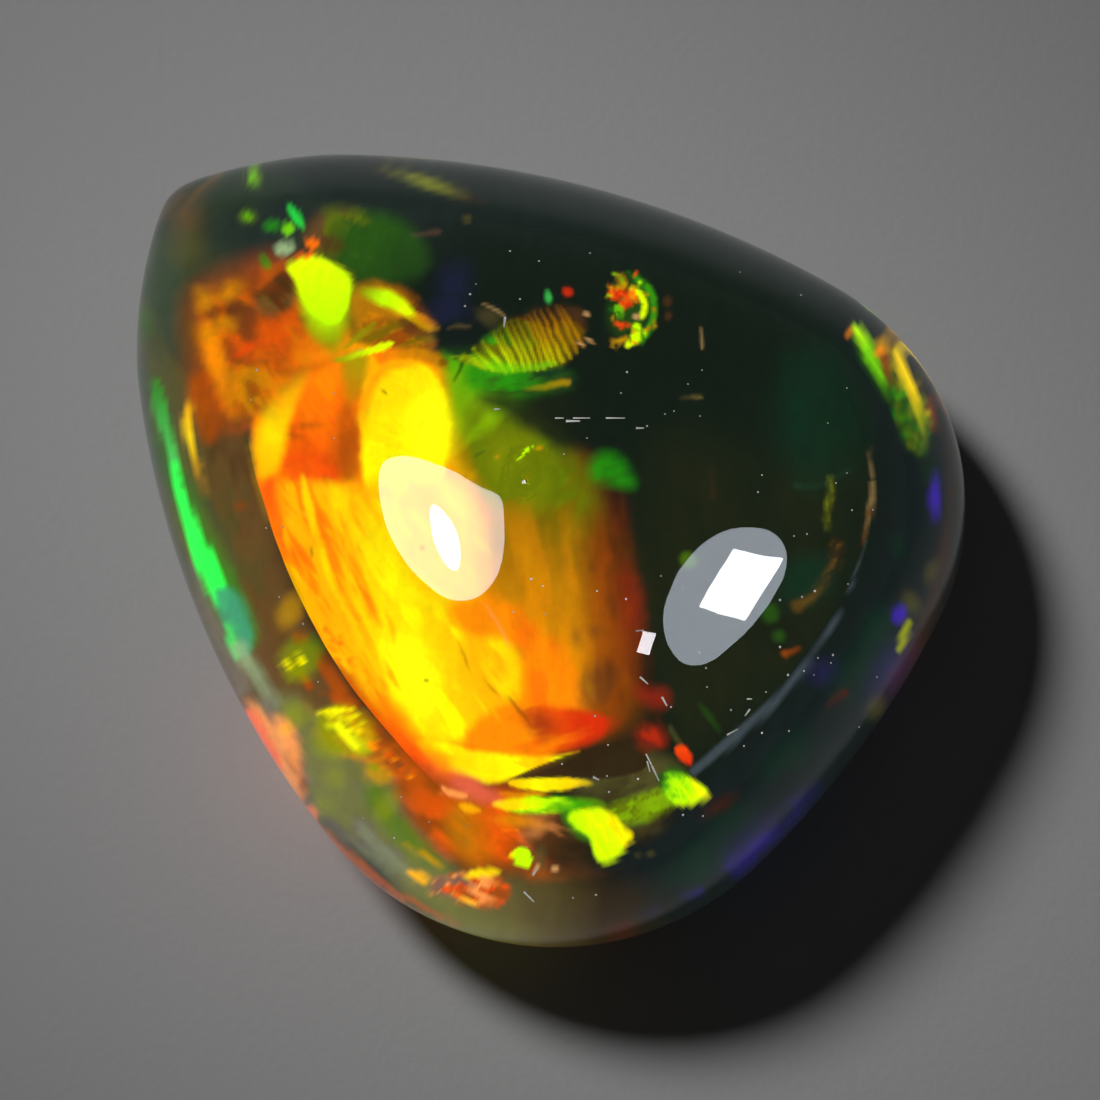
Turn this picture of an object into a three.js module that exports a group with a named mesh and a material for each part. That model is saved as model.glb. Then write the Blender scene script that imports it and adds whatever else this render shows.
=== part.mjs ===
// Ethiopian opal cabochon: one loose polished stone, lying on its flat back with the dome up.
// Millimetres, +Z up. The origin is the middle of the stone's box, on the surface it rests on.
import * as THREE from "three";

// Plan of the girdle, the stone's widest line: a bowed triangle with one small corner. Corner
// circles are joined by side arcs, each of which holds both of its circles inside and touches
// them. The small corner comes first, and the circles beside it ease it into the long sides.
const GIRDLE = {
  corners: [
    { x: -6.4, y: 5.8, radius: 0.85 },
    { x: -4.1, y: 3.35, radius: 3.5 },
    { x: 0.0, y: -2.2, radius: 5.15 },
    { x: 2.85, y: 0.65, radius: 4.55 },
    { x: -4.05, y: 2.55, radius: 4.55 },
  ],
  sideRadii: [8.0, 16.8, 16.6, 18.4, 9.5],
};

// Plan of the flat back, drawn the same way 2 to 3.5 mm inside the girdle.
const BACK = {
  corners: [
    { x: -3.85, y: 3.75, radius: 0.7 },
    { x: -3.2, y: 3.15, radius: 1.4 },
    { x: 0.1, y: -2.75, radius: 1.7 },
    { x: 2.45, y: 1.05, radius: 2.2 },
    { x: -3.1, y: 3.25, radius: 1.5 },
  ],
  sideRadii: [7.0, 15.0, 29.0, 12.5, 6.0],
};

// Where the crown of the dome stands over the plan.
const CROWN = new THREE.Vector2(-0.5, 0.1);

// Heights, from the flat back to the crown.
const HEIGHT = 7.0;
const GIRDLE_HEIGHT = 2.2;

// The wall under the girdle swells outwards: it runs as a curve pulled towards this point,
// given as the share of the way out from the back's edge to the girdle, and a height.
const WALL_PULL = new THREE.Vector2(0.93, 0.85);

// The plan grows rounder towards the crown, so that no ridge runs up from a corner.
const CROWN_CIRCLE_RADIUS = 7.1;
const CROWN_ROUNDING = 0.45;

// Steps along each corner arc and the side arc after it, the same on both plans, and steps up
// the wall and up the dome.
const CORNER_STEPS = [10, 3, 18, 16, 6];
const SIDE_STEPS = [9, 22, 14, 24, 7];
const WALL_STEPS = 7;
const DOME_STEPS = 16;

const BODY_COLOUR = 0x1c241f;

// Middle of the arc that holds two circles inside and touches both, going anticlockwise.
function sideMiddle(from, to, sideRadius) {
  const toFrom = sideRadius - from.radius;
  const toNext = sideRadius - to.radius;
  const start = new THREE.Vector2(from.x, from.y);
  const along = new THREE.Vector2(to.x, to.y).sub(start);
  const gap = along.length();
  along.normalize();
  const inward = new THREE.Vector2(-along.y, along.x);
  const run = (toFrom ** 2 - toNext ** 2 + gap ** 2) / (2 * gap);
  const rise = Math.sqrt(toFrom ** 2 - run ** 2);
  return start.addScaledVector(along, run).addScaledVector(inward, rise);
}

// A plan's outline as points, with the same number on matching arcs of both plans.
function planPoints({ corners, sideRadii }) {
  const sides = corners.map((corner, i) => {
    const next = corners[(i + 1) % corners.length];
    return sideMiddle(corner, next, sideRadii[i]);
  });
  const angleFrom = (middle, corner) => Math.atan2(corner.y - middle.y, corner.x - middle.x);
  const path = new THREE.Path();
  corners.forEach((corner, i) => {
    const before = sides[(i + corners.length - 1) % corners.length];
    const next = corners[(i + 1) % corners.length];
    const leave = angleFrom(sides[i], corner);
    path.absarc(corner.x, corner.y, corner.radius, angleFrom(before, corner), leave, false);
    path.absarc(sides[i].x, sides[i].y, sideRadii[i], leave, angleFrom(sides[i], next), false);
  });
  const steps = CORNER_STEPS.flatMap((count, i) => [count, SIDE_STEPS[i]]);
  return path.curves
    .filter((curve) => curve.isEllipseCurve)
    .flatMap((arc, k) => arc.getPoints(steps[k]).slice(0, -1));
}

// Levels of the stone from the middle of the back to the crown. On the back and the wall, out is
// the share of the way from the back's edge to the girdle; on the dome, in is the share of
// the way from the crown's axis to the girdle.
function stoneLevels() {
  const levels = [{ part: "back middle", height: 0 }];
  for (let i = 0; i < WALL_STEPS; i += 1) {
    const t = i / WALL_STEPS;
    const pull = 2 * t * (1 - t);
    levels.push({
      part: "wall",
      out: pull * WALL_PULL.x + t * t,
      height: pull * WALL_PULL.y + t * t * GIRDLE_HEIGHT,
    });
  }
  for (let i = 0; i < DOME_STEPS; i += 1) {
    const turn = (i / DOME_STEPS) * (Math.PI / 2);
    levels.push({
      part: "dome",
      in: Math.cos(turn),
      height: GIRDLE_HEIGHT + (HEIGHT - GIRDLE_HEIGHT) * Math.sin(turn),
    });
  }
  levels.push({ part: "crown", height: HEIGHT });
  return levels;
}

// Where one level meets the meridian that runs through a point of the back and of the girdle.
function meridianPoint(level, backPoint, girdlePoint) {
  if (level.part === "wall") {
    return backPoint.clone().lerp(girdlePoint, level.out);
  }
  if (level.part === "dome") {
    const out = girdlePoint.clone().sub(CROWN);
    const circle = out.clone().setLength(CROWN_CIRCLE_RADIUS);
    const rounding = CROWN_ROUNDING * (1 - level.in);
    return out.lerp(circle, rounding).multiplyScalar(level.in).add(CROWN);
  }
  return CROWN.clone();
}

// A turned solid gives the rings and poles, and each ring is drawn out to the stone's plan.
function stoneGeometry() {
  const levels = stoneLevels();
  const back = planPoints(BACK);
  const girdle = planPoints(GIRDLE);
  const isPole = (level) => level.part === "back middle" || level.part === "crown";
  const section = levels.map((level) => new THREE.Vector2(isPole(level) ? 0 : 1, level.height));
  const geometry = new THREE.LatheGeometry(section, girdle.length);
  const position = geometry.attributes.position;
  for (let i = 0; i <= girdle.length; i += 1) {
    const meridian = i % girdle.length;
    levels.forEach((level, j) => {
      const place = meridianPoint(level, back[meridian], girdle[meridian]);
      position.setXYZ(i * levels.length + j, place.x, place.y, level.height);
    });
  }
  geometry.computeBoundingBox();
  const middle = geometry.boundingBox.getCenter(new THREE.Vector3());
  geometry.translate(-middle.x, -middle.y, 0);
  geometry.computeVertexNormals();
  return geometry;
}

const cabochon = new THREE.Mesh(
  stoneGeometry(),
  new THREE.MeshStandardMaterial({ color: BODY_COLOUR, roughness: 0.04, metalness: 0 }),
);
cabochon.name = "cabochon";

const group = new THREE.Group();
group.add(cabochon);

export default group;
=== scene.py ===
"""An Ethiopian opal cabochon lying on its flat back in a plain studio.

The stone is one clear, slightly smoky solid. Its play of colour lies deep inside it, on the back
and on the wall that swells from the back to the girdle, and is seen through the dome. Each flash
of colour is drawn where it is seen, in pixels of the 1100 by 1100 frame, and rays sent from the
eye through the dome find the point of the back or the wall that shows at each pixel. Sizes are in
millimetres unless a name says otherwise.
"""

import logging
import math
from dataclasses import dataclass, field
from enum import Enum
from functools import cached_property
from typing import Any, Sequence

import bmesh
import bpy
import numpy as np
from mathutils import Matrix, Vector
from mathutils.bvhtree import BVHTree
from mathutils.interpolate import poly_3d_calc


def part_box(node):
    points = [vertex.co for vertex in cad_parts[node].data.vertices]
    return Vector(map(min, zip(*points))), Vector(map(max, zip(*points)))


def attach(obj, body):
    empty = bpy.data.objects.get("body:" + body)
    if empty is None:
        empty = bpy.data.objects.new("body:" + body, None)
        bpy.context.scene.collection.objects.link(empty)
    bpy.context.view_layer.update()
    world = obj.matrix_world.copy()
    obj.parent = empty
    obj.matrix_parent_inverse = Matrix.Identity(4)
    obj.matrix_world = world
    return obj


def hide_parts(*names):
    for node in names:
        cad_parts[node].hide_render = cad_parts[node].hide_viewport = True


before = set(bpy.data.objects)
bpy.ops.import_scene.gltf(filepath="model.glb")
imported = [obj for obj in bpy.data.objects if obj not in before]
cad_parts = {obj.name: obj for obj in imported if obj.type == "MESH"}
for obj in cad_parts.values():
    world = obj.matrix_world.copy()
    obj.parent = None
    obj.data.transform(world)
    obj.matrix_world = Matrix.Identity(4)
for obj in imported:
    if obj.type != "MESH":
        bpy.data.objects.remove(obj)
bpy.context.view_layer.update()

NODE = "cabochon"
BODY = "root"
METRES = 0.001
DISPLAY_FOOT = 0.04045
DISPLAY_SLOPE = 12.92
DISPLAY_LIFT = 0.055
DISPLAY_POWER = 2.4
SAME_PLACE = 1e-9
NO_AREA = 1e-12
UNSCALED = (1.0, 1.0, 1.0)
WHITE = (1.0, 1.0, 1.0, 1.0)

log = logging.getLogger("opal")

Pixel = tuple[float, float]
Colour = tuple[float, float, float, float]


class Hue(Enum):
    """Colours of the flashes, of the body, and of the painted rim reflections and edge highlights, as
    display RGB out of 255.
    """

    NIGHT = (8, 11, 7)
    INK = (16, 25, 17)
    SOOT = (30, 33, 16)
    SLATE = (32, 40, 39)
    NAVY = (20, 26, 28)
    RIM = (72, 76, 70)
    PINE = (14, 46, 30)
    BOTTLE = (11, 42, 25)
    COFFEE = (46, 32, 14)
    UMBER = (72, 44, 22)
    MAROON = (70, 22, 10)
    BLOOD = (140, 34, 16)
    BARK = (98, 68, 34)
    BRONZE = (92, 80, 42)
    MUD = (78, 74, 36)
    LICHEN = (46, 60, 40)
    CHESTNUT = (104, 54, 4)
    TORTOISE = (120, 96, 2)
    RUST = (150, 66, 6)
    BRICK = (184, 78, 6)
    TAN = (150, 122, 78)
    COPPER = (190, 116, 58)
    SAND = (200, 150, 96)
    BRASS = (185, 118, 2)
    KHAKI = (110, 112, 50)
    OLIVE = (138, 144, 4)
    OLIVINE = (96, 110, 2)
    MOSS = (82, 116, 10)
    FOREST = (40, 82, 16)
    HAZE = (126, 132, 100)
    SMOKE = (108, 100, 88)
    MAUVE = (130, 88, 70)
    GOLD = (196, 142, 0)
    HONEY = (222, 134, 0)
    AMBER = (255, 178, 0)
    YELLOW = (255, 214, 0)
    LEMON = (255, 240, 0)
    CANARY = (255, 255, 8)
    ORANGE = (255, 138, 0)
    TANGERINE = (255, 110, 2)
    EMBER = (232, 84, 2)
    RED = (214, 44, 8)
    SCARLET = (248, 74, 8)
    CORAL = (255, 104, 58)
    SALMON = (255, 152, 76)
    PINK = (232, 98, 78)
    LIME = (196, 255, 0)
    CITRUS = (228, 255, 0)
    LEAF = (112, 200, 10)
    PEAR = (128, 168, 2)
    GRASS = (62, 160, 8)
    GREEN = (34, 136, 10)
    EMERALD = (40, 255, 78)
    JADE = (72, 210, 92)
    TEAL = (60, 152, 112)
    SILVER = (152, 180, 132)
    GLINT = (74, 84, 94)
    VIOLET = (54, 30, 150)
    INDIGO = (34, 30, 74)

    def linear(self) -> np.ndarray:
        """Give the hue as linear light, by the display's curve: a straight foot, then a power.

        Returns:
            Three values from 0 to 1.
        """
        shown = np.array(self.value) / 255.0
        curved = ((shown + DISPLAY_LIFT) / (1 + DISPLAY_LIFT)) ** DISPLAY_POWER
        return np.where(shown <= DISPLAY_FOOT, shown / DISPLAY_SLOPE, curved)


class Side(Enum):
    """Which of the stone's inner surfaces a flash lies on."""

    BACK = "back"
    WALL = "wall"
    BOTH = "both"


@dataclass(frozen=True)
class Corner:
    """One corner circle of a plan."""

    x: float
    y: float
    radius: float

    @property
    def middle(self) -> np.ndarray:
        """Give the circle's middle."""
        return np.array([self.x, self.y])


@dataclass(frozen=True)
class Arc:
    """A stretch of a circle, walked anticlockwise from one angle to another."""

    middle: np.ndarray
    radius: float
    start: float
    stop: float

    def points(self, steps: int) -> np.ndarray:
        """Walk along the arc.

        Args:
            steps: How many points to give, without the last.

        Returns:
            One row of x and y for each point.
        """
        turn = np.linspace(self.start, self.stop, steps, endpoint=False)
        return self.middle + self.radius * np.column_stack([np.cos(turn), np.sin(turn)])


@dataclass(frozen=True)
class Plan:
    """A bowed outline: corner circles joined by side arcs that touch them."""

    corners: tuple[Corner, ...]
    side_radii: tuple[float, ...]

    def side_middle(self, i: int) -> np.ndarray:
        """Find the middle of the side arc that leaves corner i, going anticlockwise.

        Args:
            i: The corner's number.

        Returns:
            The arc's middle, in plan.
        """
        start = self.corners[i]
        end = self.corners[(i + 1) % len(self.corners)]
        to_start = self.side_radii[i] - start.radius
        to_end = self.side_radii[i] - end.radius
        along = end.middle - start.middle
        gap = float(np.hypot(*along))
        along = along / gap
        run = (to_start**2 - to_end**2 + gap**2) / (2 * gap)
        rise = math.sqrt(to_start**2 - run**2)
        return start.middle + along * run + np.array([-along[1], along[0]]) * rise

    def arcs(self) -> list[Arc]:
        """Give the outline's arcs.

        Returns:
            The arcs in order, each corner's before its side's.
        """
        made = []
        for i, corner in enumerate(self.corners):
            before, side = self.side_middle(i - 1), self.side_middle(i)
            end = self.corners[(i + 1) % len(self.corners)].middle
            arrive = math.atan2(*(corner.middle - before)[::-1])
            leave = arrive + (math.atan2(*(corner.middle - side)[::-1]) - arrive) % math.tau
            stop = leave + (math.atan2(*(end - side)[::-1]) - leave) % math.tau
            made.append(Arc(corner.middle, corner.radius, arrive, leave))
            made.append(Arc(side, self.side_radii[i], leave, stop))
        return made


@dataclass(frozen=True)
class Meridians:
    """The lines that run from the back's edge over the girdle to the crown."""

    back: np.ndarray
    girdle: np.ndarray
    crown: np.ndarray


@dataclass(frozen=True)
class StoneShape:
    """The stone's form: the same plans and section as its solid, fitted to the solid's box."""

    girdle: Plan = Plan(
        corners=(
            Corner(-6.4, 5.8, 0.85), Corner(-4.1, 3.35, 3.5), Corner(0.0, -2.2, 5.15),
            Corner(2.85, 0.65, 4.55), Corner(-4.05, 2.55, 4.55),
        ),
        side_radii=(8.0, 16.8, 16.6, 18.4, 9.5),
    )
    back: Plan = Plan(
        corners=(
            Corner(-3.85, 3.75, 0.7), Corner(-3.2, 3.15, 1.4), Corner(0.1, -2.75, 1.7),
            Corner(2.45, 1.05, 2.2), Corner(-3.1, 3.25, 1.5),
        ),
        side_radii=(7.0, 15.0, 29.0, 12.5, 6.0),
    )
    crown: Pixel = (-0.5, 0.1)
    girdle_height: float = 2.2
    wall_pull: Pixel = (0.93, 0.85)
    crown_circle: float = 7.1
    crown_rounding: float = 0.45
    dome_softness: float = 1.25
    steps_per_mm: float = 60.0

    @cached_property
    def box(self) -> np.ndarray:
        """Give the solid's lowest and highest corners."""
        return np.array(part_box(NODE)) / METRES

    @property
    def height(self) -> float:
        """Give the crown's height."""
        return float(self.box[1][2])

    def meridians(self, count: int) -> Meridians:
        """Give evenly spaced meridians, moved and fitted into the solid's box.

        Args:
            count: How many there are.

        Returns:
            Their ends, in the object's axes.
        """
        arcs = list(zip(self.girdle.arcs(), self.back.arcs()))
        lengths = [wide.radius * (wide.stop - wide.start) for wide, _ in arcs]
        steps = [math.ceil(length * self.steps_per_mm) for length in lengths]
        girdle = np.vstack([wide.points(n) for (wide, _), n in zip(arcs, steps)])
        back = np.vstack([narrow.points(n) for (_, narrow), n in zip(arcs, steps)])
        low, fit = girdle.min(0), (self.box[1] - self.box[0])[:2] / (girdle.max(0) - girdle.min(0))
        closed = [np.vstack([line, line[:1]]) for line in (back, girdle)]
        walked = np.concatenate([[0.0], np.cumsum(np.hypot(*np.diff(closed[1], axis=0).T))])
        stops = np.linspace(0.0, walked[-1], count, endpoint=False)
        even = [np.column_stack([np.interp(stops, walked, axis) for axis in line.T]) for line in closed]
        ends = [(line - low) * fit + self.box[0][:2] for line in (*even, np.array([self.crown]))]
        return Meridians(ends[0], ends[1], ends[2][0])

    def wall_ring(self, lines: Meridians, share: float, lift: float = 0.0) -> np.ndarray:
        """Give one ring of the wall under the girdle.

        Args:
            lines: The meridians.
            share: From 0 at the back's edge to 1 at the girdle.
            lift: How far inside the surface the ring lies.

        Returns:
            One row of x, y and z for each meridian.
        """
        pull = 2 * share * (1 - share)
        out = pull * self.wall_pull[0] + share**2
        high = pull * self.wall_pull[1] + share**2 * self.girdle_height
        place = lines.back + (lines.girdle - lines.back) * out
        inward = lines.crown - place
        place = place + inward / np.linalg.norm(inward, axis=1, keepdims=True) * lift * share
        return np.column_stack([place, np.full(len(place), high + lift * (1 - share / 2))])

    def dome_ring(self, lines: Meridians, turn: float) -> np.ndarray:
        """Give one ring of the dome.

        Args:
            lines: The meridians.
            turn: From 0 at the girdle to a quarter turn at the crown, in radians.

        Returns:
            One row of x, y and z for each meridian.
        """
        share = math.cos(turn)
        out = lines.girdle - lines.crown
        circle = out / np.linalg.norm(out, axis=1, keepdims=True) * self.crown_circle
        rounding = self.crown_rounding * (1 - share)
        place = lines.crown + (out * (1 - rounding) + circle * rounding) * share
        place = self.softened(place, self.dome_softness * math.sin(turn))
        high = self.girdle_height + (self.height - self.girdle_height) * math.sin(turn)
        return np.column_stack([place, np.full(len(place), high)])

    @staticmethod
    def softened(ring: np.ndarray, reach: float) -> np.ndarray:
        """Ease the small corner of a closed ring, so that no ridge runs up the polish.

        Args:
            ring: Rows of x and y.
            reach: How far along the ring each point is averaged.

        Returns:
            The eased ring.
        """
        step = np.hypot(*np.diff(ring, axis=0).T).mean()
        waves = np.fft.fftfreq(len(ring)) * math.tau
        damping = np.exp(-0.5 * (waves * reach / step) ** 2)
        return np.fft.ifft(np.fft.fft(ring, axis=0) * damping[:, None], axis=0).real

    def flat_ring(self, lines: Meridians, share: float, high: float) -> np.ndarray:
        """Give one ring of the back, drawn in towards the crown's axis.

        Args:
            lines: The meridians.
            share: From 0 at the axis to 1 at the back's edge.
            high: The ring's height.

        Returns:
            One row of x, y and z for each meridian.
        """
        place = lines.crown + (lines.back - lines.crown) * share
        return np.column_stack([place, np.full(len(place), high)])


class BentMesh:
    """A closed mesh bent from grids: rings round the stone, and discs of even squares."""

    def __init__(self, name: str) -> None:
        """Start empty.

        Args:
            name: The mesh's name.
        """
        self.mesh = bpy.data.meshes.new(name)
        self.shaped = bmesh.new()

    def rings(self, rows: Sequence[np.ndarray]) -> None:
        """Bend a grid to rings, whose seam closes when the mesh is closed.

        Args:
            rows: The rings in order, each with a row of x, y and z for every meridian.
        """
        around, up = len(rows[0]), len(rows) - 1
        made = bmesh.ops.create_grid(self.shaped, x_segments=around, y_segments=up, size=1.0)
        for vert in made["verts"]:
            meridian = round((vert.co.x + 1) / 2 * around) % around
            level = round((vert.co.y + 1) / 2 * up)
            vert.co = Vector(rows[level][meridian]) * METRES

    def disc(self, edge: np.ndarray, middle: np.ndarray) -> None:
        """Bend a square grid to fill a ring with faces of an even size.

        Args:
            edge: The ring, with a multiple of eight points, as rows of x, y and z.
            middle: The point in plan that the squares shrink towards.
        """
        cells = len(edge) // 4
        made = bmesh.ops.create_grid(self.shaped, x_segments=cells, y_segments=cells, size=1.0)
        verts = made["verts"]
        x, y = np.array([vert.co.xy for vert in verts]).T
        x, y = (np.round((line + 1) / 2 * cells) * 2 / cells - 1 for line in (x, y))
        share = np.maximum(np.abs(x), np.abs(y))
        whole = np.where(share == 0, 1.0, share)
        # The square's outline is walked anticlockwise from its lower right corner, 8 long.
        east, north = x >= np.abs(y), y > np.abs(x)
        west = x <= -np.abs(y)
        walked = np.select(
            [east, west, north], [y / whole + 1, 5 - y / whole, 3 - x / whole], 7 + x / whole
        )
        place = walked / 8 * len(edge)
        closed = np.vstack([edge, edge[:1]])
        stops = np.arange(len(closed))
        ring = np.column_stack([np.interp(place, stops, closed[:, k]) for k in (0, 1)])
        spots = middle + (ring - middle) * share[:, None]
        for vert, spot in zip(verts, spots):
            vert.co = Vector((spot[0], spot[1], edge[0][2])) * METRES

    def close(self) -> bpy.types.Mesh:
        """Close the seams and poles and turn the faces outwards.

        Returns:
            The finished mesh.
        """
        bmesh.ops.remove_doubles(self.shaped, verts=self.shaped.verts, dist=SAME_PLACE)
        bmesh.ops.recalc_face_normals(self.shaped, faces=self.shaped.faces)
        if self.shaped.calc_volume(signed=True) < 0:
            bmesh.ops.reverse_faces(self.shaped, faces=self.shaped.faces)
        bmesh.ops.triangulate(self.shaped, faces=self.shaped.faces)
        for face in self.shaped.faces:
            face.smooth = True
        self.shaped.to_mesh(self.mesh)
        self.shaped.free()
        return self.mesh


def pole(point: np.ndarray, high: float, around: int) -> np.ndarray:
    """Give a ring that is all one point.

    Args:
        point: The point in plan.
        high: Its height.
        around: How many copies the ring holds.

    Returns:
        One row of x, y and z for each copy.
    """
    return np.tile([point[0], point[1], high], (around, 1))


def add_piece(mesh: bpy.types.Mesh, material: bpy.types.Material) -> bpy.types.Object:
    """Put a mesh in the scene as a piece of the stone.

    Args:
        mesh: The mesh, whose name the piece takes.
        material: Its material.

    Returns:
        The new object.
    """
    made = bpy.data.objects.new(mesh.name, mesh)
    bpy.context.scene.collection.objects.link(made)
    mesh.materials.append(material)
    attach(made, BODY)
    return made


class Wire:
    """A shader socket that takes part in Python arithmetic and adds its own Math nodes."""

    def __init__(self, bench: "Bench", socket: bpy.types.NodeSocket) -> None:
        """Hold a socket.

        Args:
            bench: Where nodes are added.
            socket: The output that this wire carries.
        """
        self.bench = bench
        self.socket = socket

    def _math(self, operation: str, *values: Any) -> "Wire":
        """Add one Math node."""
        return self.bench.node("ShaderNodeMath", {"operation": operation}, dict(enumerate(values)))

    def __add__(self, other: Any) -> "Wire":
        """Add."""
        return self._math("ADD", self, other)

    __radd__ = __add__

    def __sub__(self, other: Any) -> "Wire":
        """Subtract."""
        return self._math("SUBTRACT", self, other)

    def __mul__(self, other: Any) -> "Wire":
        """Multiply."""
        return self._math("MULTIPLY", self, other)


class Bench:
    """The nodes of one material, or of the surroundings."""

    def __init__(self, owner: bpy.types.Material | bpy.types.World) -> None:
        """Start with no nodes.

        Args:
            owner: What the nodes are for.
        """
        self.owner = owner
        self.owner.use_nodes = True
        self.tree = owner.node_tree
        self.tree.nodes.clear()

    def node(self, kind: str, settings: dict[str, Any], inputs: dict[Any, Any], out: Any = 0) -> Wire:
        """Add a node, set it and feed it.

        Args:
            kind: The node's type.
            settings: Values for the node's own settings.
            inputs: A value or a Wire for each socket, by name or number.
            out: The output to give back, by name or number.

        Returns:
            The chosen output.
        """
        made = self.tree.nodes.new(kind)
        for name, value in settings.items():
            setattr(made, name, value)
        for name, value in inputs.items():
            if isinstance(value, Wire):
                self.tree.links.new(value.socket, made.inputs[name])
            else:
                made.inputs[name].default_value = value
        return Wire(self, made.outputs[out])

    def place(self, scale: tuple[float, float, float], turn: float = 0.0) -> Wire:
        """Give the object's own coordinates, turned about Z and scaled.

        Args:
            scale: The scale along each axis after the turn.
            turn: The turn in degrees.

        Returns:
            The coordinates.
        """
        here = self.node("ShaderNodeTexCoord", {}, {}, "Object")
        return self.node(
            "ShaderNodeMapping", {"vector_type": "POINT"},
            {"Vector": here, "Rotation": (0.0, 0.0, math.radians(turn)), "Scale": scale},
        )

    def noise(self, place: Wire, scale: float, detail: float, roughness: float = 0.5) -> Wire:
        """Give smooth noise from 0 to 1.

        Args:
            place: Where it is read.
            scale: How fine it is.
            detail: How many finer layers it has.
            roughness: How strong those layers are.

        Returns:
            The noise.
        """
        return self.node(
            "ShaderNodeTexNoise", {},
            {"Vector": place, "Scale": scale, "Detail": detail, "Roughness": roughness},
        )

    def tint(self, colour: Wire, level: Wire) -> Wire:
        """Multiply a colour by a level.

        Args:
            colour: The colour.
            level: The level.

        Returns:
            The product.
        """
        return self.node("ShaderNodeVectorMath", {"operation": "SCALE"}, {0: colour, "Scale": level})

    def blend(self, share: Wire, first: Colour, second: Colour) -> Wire:
        """Mix two colours.

        Args:
            share: How much of the second.
            first: The first colour.
            second: The second colour.

        Returns:
            The mixture.
        """
        return self.node(
            "ShaderNodeMix", {"data_type": "RGBA"}, {"Factor": share, 6: first, 7: second}, 2
        )

    def finish(
        self, surface: Wire, volume: Wire | None = None
    ) -> bpy.types.Material | bpy.types.World:
        """Add the output.

        Args:
            surface: The surface shader.
            volume: What fills the inside, if anything.

        Returns:
            The finished material or surroundings.
        """
        kind = "World" if isinstance(self.owner, bpy.types.World) else "Material"
        output = self.tree.nodes.new(f"ShaderNodeOutput{kind}")
        self.tree.links.new(surface.socket, output.inputs["Surface"])
        if volume is not None:
            self.tree.links.new(volume.socket, output.inputs["Volume"])
        return self.owner


@dataclass(frozen=True)
class ClearOpal:
    """The stone itself: polished, see-through and slightly smoky."""

    ior: float = 1.45
    roughness: float = 0.012
    smoke: Colour = (0.60, 0.66, 0.58, 1.0)
    density: float = 110.0
    ripple_scale: float = 420.0
    ripple_layers: float = 2.0
    ripple_depth: float = 0.012

    def material(self) -> bpy.types.Material:
        """Make the material.

        Returns:
            The material, with the smoke as plain absorption.
        """
        bench = Bench(bpy.data.materials.new("clear opal"))
        ripple = bench.noise(bench.place(UNSCALED), self.ripple_scale, self.ripple_layers)
        bump = bench.node(
            "ShaderNodeBump", {}, {"Strength": self.ripple_depth, "Distance": METRES, "Height": ripple}
        )
        surface = bench.node(
            "ShaderNodeBsdfPrincipled", {},
            {
                "Base Color": WHITE, "Roughness": self.roughness, "IOR": self.ior,
                "Transmission Weight": 1.0, "Normal": bump,
            },
        )
        volume = bench.node(
            "ShaderNodeVolumeAbsorption", {}, {"Color": self.smoke, "Density": self.density}
        )
        return bench.finish(surface, volume)


@dataclass(frozen=True)
class PlayOfColour:
    """The glowing flashes: painted light, given as emission though the stone is no lamp, broken up by fine
    fibres and grains.
    """

    strength: float = 1.45
    dark_base: Colour = (0.002, 0.003, 0.003, 1.0)
    fibre_scale: tuple[float, float, float] = (5200.0, 1500.0, 1500.0)
    fibre_turn: float = 28.0
    fibre_depth: float = 0.36
    grain_scale: float = 7000.0
    grain_depth: float = 0.22
    layers: float = 2.0
    layer_strength: float = 0.6
    roughness: float = 0.5

    def material(self) -> bpy.types.Material:
        """Make the material.

        Returns:
            The material, which reads the piece's own colour attribute.
        """
        bench = Bench(bpy.data.materials.new("play of colour"))
        fire = bench.node("ShaderNodeAttribute", {"attribute_name": "fire"}, {}, "Color")
        along = bench.place(self.fibre_scale, self.fibre_turn)
        fibre = bench.noise(along, 1.0, self.layers, self.layer_strength)
        grain = bench.noise(bench.place(UNSCALED), self.grain_scale, self.layers, self.layer_strength)
        level = 1.0 + (fibre - 0.5) * self.fibre_depth + (grain - 0.5) * self.grain_depth
        surface = bench.node(
            "ShaderNodeBsdfPrincipled", {},
            {
                "Base Color": self.dark_base, "Roughness": self.roughness, "Specular IOR Level": 0.0,
                "Emission Color": bench.tint(fire, level), "Emission Strength": self.strength,
            },
        )
        material = bench.finish(surface)
        material.cycles.emission_sampling = "NONE"
        return material


@dataclass(frozen=True)
class StudioFloor:
    """The plain grey ground."""

    colour: Colour = (0.20, 0.20, 0.20, 1.0)
    roughness: float = 0.8
    tooth_scale: float = 6000.0
    tooth_layers: float = 3.0
    tooth_depth: float = 0.03

    def material(self) -> bpy.types.Material:
        """Make the material.

        Returns:
            A matt grey with a very fine tooth.
        """
        bench = Bench(bpy.data.materials.new("studio floor"))
        tooth = bench.noise(bench.place(UNSCALED), self.tooth_scale, self.tooth_layers)
        bump = bench.node(
            "ShaderNodeBump", {}, {"Strength": self.tooth_depth, "Distance": METRES, "Height": tooth}
        )
        surface = bench.node(
            "ShaderNodeBsdfPrincipled", {},
            {"Base Color": self.colour, "Roughness": self.roughness, "Normal": bump},
        )
        return bench.finish(surface)


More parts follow.
